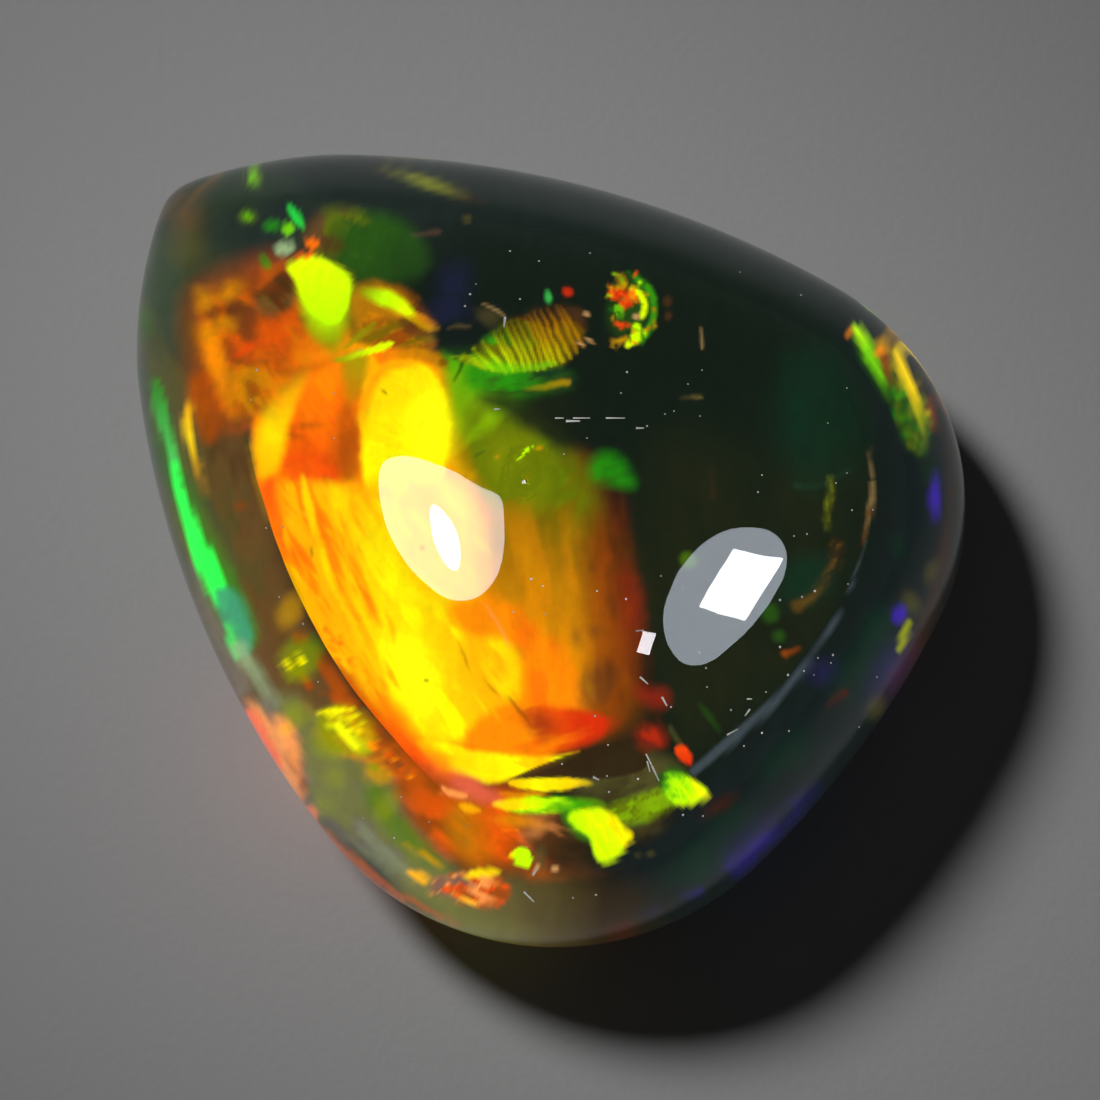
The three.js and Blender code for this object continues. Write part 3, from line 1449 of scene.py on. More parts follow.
# The great flame's own colours over the left half of the back.
FLAME_BODY: Marks = (
    Patch("flame shade", ((550, 440), (606, 466), (644, 540), (656, 620), (648, 710), (604, 748),
          (550, 740)), (Hue.CHESTNUT, Hue.CHESTNUT, Hue.MAROON, Hue.SOOT), 40, 0.95, BACK,
          fade=((584, 600), (662, 590)), veins=Veins(-82, 90, 22, 0.4, 21)),
    Patch("flame ground", ((250, 430), (262, 352), (330, 336), (400, 345), (455, 372), (500, 420),
          (540, 480), (550, 640), (560, 700), (560, 762), (500, 782), (440, 780), (396, 744), (345, 682),
          (305, 626), (283, 578), (266, 520), (256, 480)), (Hue.TANGERINE, Hue.ORANGE, Hue.AMBER), 9, 1.0,
          BACK, veins=Veins(-62, 120, 30, 0.8, 22, 0.7)),
    Patch("green root", ((440, 350), (480, 352), (524, 372), (534, 400), (500, 424), (462, 430),
          (446, 400)), (Hue.GRASS, Hue.PEAR), 26, 1.0, BACK, fade=((506, 368), (462, 412)),
          veins=Veins(70, 60, 24, 0.5, 23)),
    Patch("olive flank", ((448, 400), (500, 398), (550, 430), (588, 476), (604, 524), (566, 552),
          (494, 520), (456, 460)), (Hue.PEAR, Hue.OLIVINE, Hue.OLIVINE, Hue.TORTOISE), 38, 1.0, BACK,
          fade=((466, 400), (580, 530)), veins=Veins(50, 90, 40, 0.35, 24)),
    Patch("gold flank", ((476, 500), (560, 506), (590, 540), (600, 620), (602, 700), (566, 722), (530, 690),
          (508, 640), (480, 590)), (Hue.TORTOISE, Hue.BRASS, Hue.HONEY, Hue.ORANGE), 40, 0.95, BACK,
          fade=((570, 496), (545, 706)), veins=Veins(-84, 110, 26, 0.25, 25)),
    Patch("brown flank", ((584, 510), (622, 520), (636, 610), (632, 700), (604, 726), (586, 690),
          (586, 600)), (Hue.CHESTNUT, Hue.RUST, Hue.RUST), 34, 0.7, BACK, fade=((600, 520), (600, 690)),
          veins=Veins(-84, 80, 16, 0.4, 26)),
    Patch("olive bruise", ((476, 440), (520, 430), (550, 470), (540, 510), (500, 500)), (Hue.OLIVE,), 40,
          0.5, BACK, veins=Veins(30, 40, 20, 0.6, 30)),
    Dots("flank smudges", ((597, 682, 36, 46, -30), (577, 637, 8, 7, 0), (594, 632, 9, 7, 0)), (Hue.UMBER,),
         16, 0.55, BACK, ragged=5),
    Patch("ember cheek", ((290, 392), (312, 364), (338, 368), (354, 410), (354, 470), (330, 488),
          (288, 482), (278, 450)), (Hue.ORANGE, Hue.TANGERINE, Hue.EMBER), 24, 1.0, BACK,
          fade=((312, 364), (318, 452)), veins=Veins(-62, 60, 22, 0.5, 27, 0.7)),
    Patch("cheek red", ((280, 452), (306, 456), (338, 464), (344, 482), (312, 486), (282, 480)),
          (Hue.SCARLET,), 16, 0.9, BACK, veins=Veins(-20, 30, 10, 0.5, 28)),
    Patch("cheek shade", ((334, 424), (352, 390), (359, 430), (359, 480), (342, 484), (332, 456)),
          (Hue.BRICK, Hue.RUST), 16, 0.8, BACK, veins=Veins(-78, 30, 9, 0.7, 28)),
    Dots("cheek smudge", ((306, 426, 34, 7, 4), (296, 436, 14, 8, 0)), (Hue.BRICK,), 7, 0.7, BACK),
    Patch("olive cleft", ((338, 350), (364, 348), (368, 372), (358, 404), (346, 400)),
          (Hue.OLIVE, Hue.BRASS), 14, 0.8, BACK, fade=((350, 356), (354, 402))),
    Streak("amber sash", ((304, 338), (292, 378), (276, 410), (269, 444), (264, 478)),
           (Hue.HONEY, Hue.AMBER, Hue.YELLOW, Hue.AMBER), 14, 1.0, widths=(18, 26, 28, 32, 8),
           fade=((296, 350), (262, 476))),
    Patch("yellow lobe", ((361, 400), (368, 374), (392, 358), (426, 360), (443, 386), (452, 424),
          (450, 452), (436, 490), (400, 520), (364, 500), (360, 450)), (Hue.YELLOW, Hue.LEMON), 8, 1.0,
          BACK, fade=((380, 372), (430, 440)), veins=Veins(-20, 60, 16, 0.4, 29)),
    Patch("lobe heart", ((412, 396), (440, 388), (450, 424), (446, 466), (424, 474), (406, 440)),
          (Hue.CANARY,), 24, 0.9, BACK),
    Streak("lobe crescent", ((364, 432), (366, 390), (386, 364), (424, 362)), (Hue.ORANGE,), 10, 0.75, BACK,
           widths=(2, 11, 12, 3)),
    Patch("lobe top", ((378, 358), (404, 344), (436, 348), (450, 370), (430, 362), (400, 356)),
          (Hue.HONEY, Hue.BRASS), 10, 0.9, BACK, fade=((390, 350), (446, 362))),
)

# The flame's lower bands and its edges.
FLAME_FIBRES: Marks = (
    Patch("fibre field", ((262, 486), (300, 480), (344, 486), (372, 540), (396, 600), (400, 650),
          (384, 706), (352, 686), (310, 632), (280, 576)),
          (Hue.TANGERINE, Hue.ORANGE, Hue.AMBER, Hue.AMBER, Hue.YELLOW), 16, 0.95, BACK,
          fade=((270, 564), (392, 528)), veins=Veins(-63, 90, 13, 0.75, 31, 0.6)),
    Patch("yellow neck", ((334, 504), (366, 482), (440, 470), (484, 530), (480, 600), (420, 640),
          (384, 600), (352, 556)), (Hue.AMBER, Hue.YELLOW, Hue.LEMON), 30, 0.95, BACK,
          fade=((346, 524), (412, 560)), veins=Veins(-58, 60, 16, 0.5, 32)),
    Patch("under the glare", ((380, 500), (430, 470), (474, 500), (500, 560), (470, 606), (430, 600),
          (396, 560)), (Hue.AMBER, Hue.AMBER, Hue.BRASS), 30, 0.85, BACK, fade=((420, 530), (500, 540))),
    Patch("yellow pool", ((372, 616), (404, 596), (450, 606), (470, 640), (506, 634), (524, 662),
          (520, 700), (490, 714), (468, 740), (432, 750), (402, 716), (378, 676)),
          (Hue.AMBER, Hue.YELLOW, Hue.LEMON), 20, 1.0, BACK, fade=((520, 660), (420, 680)),
          veins=Veins(-55, 60, 20, 0.7, 33)),
    Patch("pool heart", ((380, 636), (424, 634), (440, 690), (430, 722), (402, 704)), (Hue.CANARY,), 30,
          0.8, BACK),
    Patch("pool amber", ((458, 636), (480, 636), (492, 676), (466, 684)), (Hue.AMBER,), 20, 0.7, BACK),
    Patch("orange saddle", ((446, 600), (480, 596), (520, 606), (544, 640), (532, 662), (504, 634),
          (470, 634), (450, 624)), (Hue.ORANGE, Hue.ORANGE, Hue.TANGERINE), 18, 0.9, BACK,
          fade=((460, 612), (536, 644)), veins=Veins(-60, 40, 12, 0.4, 37)),
    Patch("orange column", ((522, 644), (556, 632), (574, 690), (568, 724), (540, 724), (526, 690)),
          (Hue.ORANGE, Hue.TANGERINE), 22, 0.85, BACK, veins=Veins(-84, 50, 14, 0.8, 34)),
    Patch("orange tongue", ((460, 742), (480, 716), (516, 698), (548, 706), (600, 712), (612, 722),
          (596, 742), (550, 757), (500, 754)), (Hue.ORANGE, Hue.ORANGE, Hue.EMBER, Hue.RED), 12, 1.0, BACK,
          fade=((480, 730), (600, 726)), veins=Veins(12, 50, 14, 0.3, 35)),
    Dots("tongue shade", ((540, 724, 34, 22, -30),), (Hue.BLOOD,), 20, 0.7, BACK, ragged=4),
    Streak("tongue line", ((508, 696), (520, 712), (532, 728)), (Hue.RUST,), 4, 0.7, BACK,
           widths=(2, 5, 2)),
    Dots("red tip", ((594, 730, 36, 16, 20),), (Hue.RED,), 18, 0.6, BACK),
    Patch("yellow keel", ((410, 738), (446, 744), (500, 755), (556, 758), (586, 751), (560, 764),
          (524, 773), (494, 786), (462, 776), (430, 764)), (Hue.YELLOW, Hue.LEMON, Hue.LEMON, Hue.AMBER), 7,
          1.0, BACK, fade=((420, 750), (586, 754)), veins=Veins(-10, 60, 12, 0.4, 36)),
    Streak("left edge ember", ((268, 484), (275, 520), (284, 552), (288, 580)),
           (Hue.SCARLET, Hue.TANGERINE), 14, 0.85, BACK, widths=(14, 16, 14, 6),
           fade=((268, 490), (286, 575))),
    Streak("left edge gold", ((286, 566), (296, 600), (308, 626)), (Hue.GOLD,), 8, 0.7, BACK,
           widths=(6, 10, 6)),
    Streak("low edge ember", ((334, 662), (362, 702), (398, 744), (430, 770), (476, 792)),
           (Hue.BRICK, Hue.EMBER, Hue.SCARLET, Hue.CORAL), 14, 0.85, BACK, widths=(6, 16, 22, 24, 14),
           fade=((338, 668), (470, 790))),
    Streak("low edge amber", ((386, 696), (412, 736), (444, 764)), (Hue.ORANGE,), 14, 0.75, BACK,
           widths=(8, 12, 14)),
    Streak("olive fringe", ((252, 456), (258, 490), (266, 520)), (Hue.GOLD,), 8, 0.6, WALL,
           widths=(4, 8, 4)),
    Streak("long yellow fibre", ((302, 474), (307, 500), (316, 540), (334, 590), (356, 626)), (Hue.YELLOW,),
           6, 0.9, BACK, widths=(2, 9, 9, 6, 2)),
    Streak("red fibre", ((350, 556), (364, 590), (380, 628)), (Hue.TANGERINE,), 8, 0.7, BACK,
           widths=(3, 10, 3)),
    Streak("amber fibre", ((330, 520), (352, 560), (372, 610)), (Hue.ORANGE,), 8, 0.6, BACK,
           widths=(3, 8, 3)),
    Streak("yellow fibre", ((340, 560), (356, 600), (376, 640)), (Hue.YELLOW,), 6, 0.7, BACK,
           widths=(2, 7, 3)),
    Streak("dark fibre", ((457, 640), (464, 658), (473, 676)), (Hue.BRASS,), 3, 0.7, BACK,
           widths=(1, 3, 1)),
    Streak("dark fibre two", ((485, 680), (493, 692), (502, 700)), (Hue.BRASS,), 3, 0.7, BACK,
           widths=(1, 3, 1)),
    Streak("pale fibre", ((481, 602), (494, 617), (503, 632), (510, 648)), (Hue.SALMON,), 3, 0.6, BACK,
           widths=(1.5, 2.5, 2.5, 1)),
    Dots("dark pits", ((425, 680, 4, 4, 0), (421, 548, 4, 5, 0), (310, 552, 3, 10, 0), (384, 393, 3, 8, 40),
         (444, 362, 10, 8, 0)), (Hue.CHESTNUT,), 3, 0.65, BACK),
)

# The fine fibres that run down through the flame.
FLAME_WISPS: Marks = (
    Wisps("fine fibres", ((270, 490), (340, 486), (390, 580), (400, 680), (376, 706), (330, 660),
          (284, 580)), (Hue.YELLOW, Hue.AMBER, Hue.TANGERINE, Hue.YELLOW, Hue.EMBER, Hue.ORANGE), 90,
          (14, 44), (3, 7), -62, 9, 301, 0.5, BACK, 5),
    Wisps("pool fibres", ((370, 500), (470, 480), (520, 640), (520, 710), (440, 750), (384, 660)),
          (Hue.AMBER, Hue.LEMON, Hue.CANARY, Hue.YELLOW), 50, (16, 50), (3, 8), -58, 14, 302, 0.3, BACK, 6),
    Wisps("cheek fibres", ((280, 400), (350, 380), (356, 480), (300, 490)),
          (Hue.EMBER, Hue.TANGERINE, Hue.SCARLET, Hue.BRICK), 30, (8, 26), (3, 6), -62, 16, 303, 0.4, BACK,
          5),
    Wisps("flank fibres", ((500, 560), (584, 540), (600, 700), (560, 720), (510, 640)),
          (Hue.BRASS, Hue.HONEY, Hue.GOLD), 40, (14, 44), (4, 9), -80, 10, 304, 0.3, BACK, 8),
    Wisps("shade fibres", ((590, 520), (632, 520), (640, 700), (596, 730)),
          (Hue.CHESTNUT, Hue.MAROON, Hue.RUST, Hue.COFFEE), 40, (14, 44), (4, 9), -82, 10, 305, 0.35, BACK,
          8),
    Wisps("olive threads", ((460, 410), (540, 430), (586, 490), (560, 530), (490, 490)),
          (Hue.MOSS, Hue.OLIVE, Hue.TORTOISE, Hue.PEAR), 36, (10, 34), (3, 7), 40, 20, 306, 0.3, BACK, 6),
    Wisps("ember crumbs", ((322, 620), (350, 640), (372, 690), (352, 684), (326, 650)),
          (Hue.AMBER, Hue.EMBER, Hue.SCARLET), 26, (5, 12), (3, 6), -30, 40, 307, 0.6, BACK, 4),
)

# What lies under the flame's lower edge, down to the bottom.
UNDER_THE_FLAME: Marks = (
    Patch("ember ground", ((398, 760), (440, 776), (500, 786), (548, 792), (560, 850), (540, 876),
          (500, 872), (450, 860), (410, 830), (392, 790)), (Hue.RUST, Hue.BRICK, Hue.EMBER, Hue.RUST), 26,
          0.9, fade=((400, 800), (530, 830)), veins=Veins(-34, 70, 20, 0.7, 41)),
    Patch("ember glow", ((450, 800), (510, 800), (516, 860), (470, 868), (446, 836)),
          (Hue.EMBER, Hue.BRASS), 30, 0.7, fade=((500, 840), (470, 848))),
    Patch("smoky brown", ((520, 812), (570, 812), (592, 836), (590, 868), (548, 874), (524, 850)),
          (Hue.COPPER, Hue.UMBER, Hue.COFFEE), 24, 0.9, fade=((536, 824), (580, 862)),
          veins=Veins(-20, 50, 18, 0.5, 42)),
    Patch("brown shelf", ((560, 766), (610, 748), (660, 752), (690, 772), (676, 812), (640, 850),
          (600, 800), (560, 790)), (Hue.UMBER, Hue.MUD, Hue.COFFEE), 22, 0.9, fade=((590, 752), (650, 812)),
          veins=Veins(20, 60, 18, 0.5, 43)),
    Patch("dark wedge", ((498, 785), (526, 771), (554, 760), (583, 751), (610, 742), (646, 744), (650, 770),
          (610, 780), (560, 777)), (Hue.UMBER, Hue.COFFEE, Hue.COFFEE), 2.5, 0.95, BACK,
          fade=((510, 780), (640, 758)), ragged=0.6),
    Patch("yellow blade", ((502, 781), (530, 777), (560, 779), (604, 783), (562, 792), (524, 791)),
          (Hue.AMBER, Hue.LEMON, Hue.YELLOW, Hue.MUD), 4, 1.0, fade=((502, 784), (606, 785))),
    Streak("orange under blade", ((500, 794), (540, 796)), (Hue.HONEY,), 5, 0.8, widths=(4, 6)),
    Patch("lime blade", ((488, 806), (504, 799), (540, 796), (600, 800), (612, 812), (560, 812), (530, 815),
          (504, 811)), (Hue.YELLOW, Hue.LIME, Hue.GRASS, Hue.MOSS), 6, 1.0, fade=((494, 806), (600, 806)),
          veins=Veins(4, 50, 7, 0.35, 44)),
    Streak("pink flush", ((456, 782), (480, 792), (496, 800)), (Hue.PINK,), 14, 0.6, widths=(10, 20, 8)),
    Streak("orange fleck", ((442, 786), (452, 793), (464, 795)), (Hue.SALMON,), 4, 0.85, widths=(3, 7, 4)),
    Streak("amber fleck", ((460, 804), (468, 809), (478, 811)), (Hue.AMBER,), 5, 0.75, widths=(5, 9, 4)),
    Dots("amber under lime", ((516, 822, 44, 13, -4),), (Hue.HONEY,), 9, 0.75),
    Streak("fine amber line", ((500, 831), (518, 832)), (Hue.ORANGE,), 3, 0.7, widths=(2, 2)),
    Patch("moss link", ((604, 808), (640, 797), (668, 784), (684, 802), (650, 820), (616, 830)),
          (Hue.PEAR, Hue.OLIVINE, Hue.PEAR), 12, 0.9, fade=((610, 812), (676, 796)),
          veins=Veins(20, 24, 8, 0.8, 45)),
    Patch("lime tongue glow", ((560, 806), (600, 806), (600, 840), (574, 836)), (Hue.GRASS,), 16, 0.85),
    Patch("lime tongue", ((568, 822), (574, 811), (590, 811), (606, 811), (618, 820), (624, 830),
          (634, 836), (627, 844), (622, 854), (612, 862), (600, 864), (594, 850), (591, 836), (578, 832)),
          (Hue.LIME, Hue.CITRUS, Hue.YELLOW), 7, 1.0, fade=((590, 850), (630, 828)),
          veins=Veins(-60, 20, 5, 0.25, 46), ragged=2.5),
    Patch("dark green root", ((662, 778), (668, 764), (690, 774), (690, 786), (672, 788)), (Hue.FOREST,), 8,
          0.8),
    Patch("lime tip", ((655, 774), (670, 771), (690, 777), (711, 793), (702, 801), (686, 807), (672, 804),
          (661, 790)), (Hue.FOREST, Hue.LEAF, Hue.LIME, Hue.CANARY), 6, 1.0, fade=((654, 782), (702, 792)),
          veins=Veins(-30, 16, 6, 0.3, 47), ragged=1.0),
    Patch("lime button", ((508, 857), (515, 851), (524, 848), (530, 850), (534, 860), (530, 870),
          (520, 867)), (Hue.AMBER, Hue.LIME, Hue.LIME), 3, 1.0, fade=((508, 857), (522, 860)), ragged=1.5),
    Dots("button moss", ((541, 858, 14, 22, 0),), (Hue.MUD,), 8, 0.6),
    Streak("button crumb", ((533, 875), (538, 868)), (Hue.SAND,), 3, 0.8, widths=(3, 4)),
    Dots("tuft crumbs", ((556, 870, 8, 5, 30),), (Hue.SAND,), 3, 0.9),
    Streak("orange sole", ((532, 876), (560, 874), (600, 873)), (Hue.BRICK,), 16, 0.5, widths=(12, 12, 5),
           veins=Veins(4, 40, 8, 0.7, 50)),
    Patch("red bead", ((673, 748), (683, 743), (692, 754), (692, 766), (684, 764)), (Hue.SCARLET, Hue.RED),
          4, 1.0, BACK, fade=((678, 746), (690, 764))),
    Patch("dim red pair", ((634, 728), (660, 726), (668, 744), (640, 750)), (Hue.RED,), 18, 0.6, BACK,
          veins=Veins(-30, 26, 12, 0.5, 48)),
    Patch("dim red band", ((632, 685), (652, 688), (670, 690), (664, 710), (640, 702)), (Hue.BLOOD,), 18,
          0.8, BACK),
    Streak("dim red fork", ((656, 712), (662, 730), (668, 746)), (Hue.MAROON,), 9, 0.7, BACK,
           widths=(4, 8, 4)),
    Dots("red brown glow", ((632, 606, 22, 70, 6), (630, 580, 20, 16, 0)), (Hue.BLOOD,), 16, 0.5, BACK,
         ragged=4),
    Patch("red cluster", ((426, 893), (434, 880), (448, 876), (470, 872), (494, 876), (512, 892),
          (508, 902), (492, 909), (468, 905), (444, 898)),
          (Hue.MAUVE, Hue.SALMON, Hue.BRICK, Hue.SCARLET, Hue.RUST), 9, 0.95, fade=((430, 890), (500, 896)),
          veins=Veins(-14, 30, 6, 1.0, 49)),
    Streak("cluster crest", ((466, 876), (480, 873), (498, 876)), (Hue.YELLOW,), 5, 0.95, widths=(4, 9, 3)),
    Streak("cluster keel", ((450, 896), (464, 902), (482, 904)), (Hue.AMBER,), 3, 0.8, widths=(2, 4, 2)),
    Dots("cluster spark", ((418, 878, 22, 10, -32),), (Hue.AMBER,), 4, 0.9),
    Dots("cluster flush", ((440, 881, 16, 12, 0),), (Hue.MAUVE,), 8, 0.7),
    Streak("olive sweep", ((376, 796), (398, 832), (424, 856), (452, 872)), (Hue.MOSS,), 16, 0.75, WALL,
           widths=(22, 24, 16, 4)),
    Streak("olive line", ((404, 842), (424, 858), (446, 869)), (Hue.GOLD,), 4, 0.75, WALL,
           widths=(2, 6, 2)),
    Dots("olive blur", ((386, 806, 20, 30, -30),), (Hue.OLIVE,), 14, 0.5, WALL),
)

# The flashes on the wall along the lower left.
LOWER_LEFT: Marks = (
    Patch("brown hollow", ((284, 600), (306, 626), (340, 680), (400, 742), (440, 790), (400, 790),
          (350, 740), (300, 700), (282, 650)), (Hue.BARK, Hue.RUST, Hue.BRICK), 18, 0.9, WALL,
          fade=((290, 630), (420, 770)), veins=Veins(-52, 40, 12, 0.9, 51)),
    Dots("olive blur", ((288, 612, 22, 34, -20),), (Hue.GOLD,), 14, 0.6, WALL),
    Patch("tuft skirt one", ((280, 656), (292, 640), (312, 636), (322, 648), (312, 674), (292, 682)),
          (Hue.OLIVE, Hue.MOSS), 20, 0.85, WALL, fade=((290, 660), (316, 644)), ragged=5),
    Wisps("tuft one", ((286, 656), (298, 648), (308, 662), (300, 674), (286, 670)),
          (Hue.LEMON, Hue.CITRUS, Hue.OLIVE), 12, (6, 16), (2, 4), -50, 30, 401, 0.95, WALL),
    Patch("tuft skirt two", ((312, 716), (330, 704), (352, 704), (372, 726), (376, 752), (356, 760),
          (330, 752), (316, 736)), (Hue.OLIVE, Hue.GOLD), 10, 0.9, WALL, veins=Veins(-38, 24, 8, 0.8, 52)),
    Wisps("tuft two", ((318, 714), (344, 706), (362, 722), (366, 750), (344, 744)),
          (Hue.LEMON, Hue.CANARY, Hue.YELLOW, Hue.GOLD), 22, (10, 28), (2, 6), -36, 14, 402, 0.95, WALL),
    Streak("tuft ridge", ((318, 714), (332, 710), (352, 710)), (Hue.LEMON,), 4, 0.9, WALL,
           widths=(3, 6, 3)),
    Streak("tuft spine", ((328, 724), (346, 736), (366, 756)), (Hue.CANARY,), 4, 0.95, WALL,
           widths=(4, 9, 3)),
    Dots("tuft glow", ((326, 744, 34, 26, -40), (294, 716, 26, 20, 0)), (Hue.OLIVE,), 18, 0.7, WALL),
    Streak("ember edge", ((352, 756), (372, 764), (386, 750)), (Hue.HONEY,), 8, 0.7, WALL,
           widths=(4, 8, 5)),
    Wisps("ember crumbs low", ((364, 744), (392, 744), (420, 776), (400, 782), (372, 764)),
          (Hue.BRICK, Hue.EMBER, Hue.ORANGE, Hue.BARK), 26, (4, 12), (3, 6), -30, 40, 403, 0.8, WALL),
    Dots("olive tuft", ((377, 774, 26, 18, -20),), (Hue.GOLD,), 10, 0.8, WALL),
    Dots("olive tuft top", ((373, 767, 12, 8, -20),), (Hue.OLIVE,), 6, 0.8, WALL),
    Patch("salmon patch", ((240, 702), (250, 700), (272, 716), (290, 722), (298, 746), (302, 776),
          (306, 800), (298, 806), (276, 780), (256, 746)), (Hue.MAUVE, Hue.SALMON, Hue.SALMON, Hue.RUST),
          12, 0.78, WALL, fade=((246, 700), (300, 800)), veins=Veins(-58, 40, 10, 0.35, 53)),
    Streak("salmon red edge", ((248, 714), (262, 742), (278, 768)), (Hue.CORAL,), 8, 0.95, WALL,
           widths=(8, 16, 8)),
    Streak("salmon light", ((282, 728), (290, 750), (296, 774)), (Hue.SALMON,), 8, 0.6, WALL,
           widths=(7, 9, 5)),
    Dots("salmon spark", ((284, 730, 12, 14, -30),), (Hue.AMBER,), 8, 0.5, WALL),
    Dots("pink dot", ((311, 813, 10, 15, 30),), (Hue.PINK,), 6, 0.9, WALL),
    Streak("red hem", ((315, 822), (342, 850), (380, 884), (420, 910), (462, 926)), (Hue.BRICK,), 5, 0.6,
           WALL, widths=(4, 6, 6, 5, 3)),
    Dots("haze green", ((334, 778, 24, 20, -30), (322, 808, 22, 20, 0)), (Hue.OLIVE,), 16, 0.35, WALL),
)

# The long green sliver and its neighbours down the left wall.
LEFT_RIM: Marks = (
    Patch("brown shade", ((214, 412), (246, 420), (262, 500), (272, 560), (240, 580), (220, 520),
          (208, 460)), (Hue.UMBER, Hue.BARK, Hue.MUD), 20, 0.85, WALL, fade=((230, 420), (240, 570)),
          veins=Veins(-72, 60, 16, 0.5, 61)),
    Patch("brick patch", ((186, 378), (206, 366), (222, 392), (222, 430), (206, 450), (192, 420)),
          (Hue.RUST, Hue.BRICK), 14, 0.85, WALL, veins=Veins(-70, 40, 10, 0.8, 62)),
    Streak("amber thread", ((188, 400), (185, 424), (190, 446), (196, 466), (204, 500)),
           (Hue.AMBER, Hue.YELLOW, Hue.GOLD, Hue.BRASS), 7, 0.95, WALL, widths=(3, 9, 7, 6, 2),
           fade=((188, 404), (204, 500))),
    Streak("sliver glow", ((152, 380), (162, 440), (186, 510), (216, 580), (246, 640)),
           (Hue.FOREST, Hue.GREEN), 16, 0.7, WALL, widths=(10, 16, 26, 34, 20),
           fade=((152, 380), (216, 580))),
    Streak("sliver head", ((154, 382), (158, 410), (167, 438), (174, 470)), (Hue.GREEN, Hue.JADE), 6, 0.85,
           WALL, widths=(6, 14, 9, 8), fade=((156, 390), (172, 460))),
    Streak("green sliver", ((172, 464), (178, 492), (190, 530), (204, 564), (216, 592), (224, 610)),
           (Hue.EMERALD,), 5, 1.0, WALL, widths=(6, 9, 15, 22, 16, 3)),
    Patch("teal tail", ((212, 588), (234, 588), (248, 622), (254, 646), (244, 660), (228, 646), (218, 616)),
          (Hue.TEAL,), 9, 0.9, WALL),
    Streak("second sliver", ((225, 622), (230, 642), (236, 658)), (Hue.JADE,), 6, 0.95, WALL,
           widths=(4, 11, 5)),
    Streak("pale tail", ((238, 650), (252, 674), (274, 704)), (Hue.SILVER, Hue.HAZE), 12, 0.7, WALL,
           widths=(18, 14, 10), fade=((238, 650), (270, 700))),
    Dots("dim greens", ((143, 325, 14, 24, 0), (196, 340, 10, 30, 20)), (Hue.FOREST,), 12, 0.8, WALL),
    Dots("rust dot", ((240, 507, 9, 9, 0),), (Hue.RUST,), 7, 0.6, WALL),
)

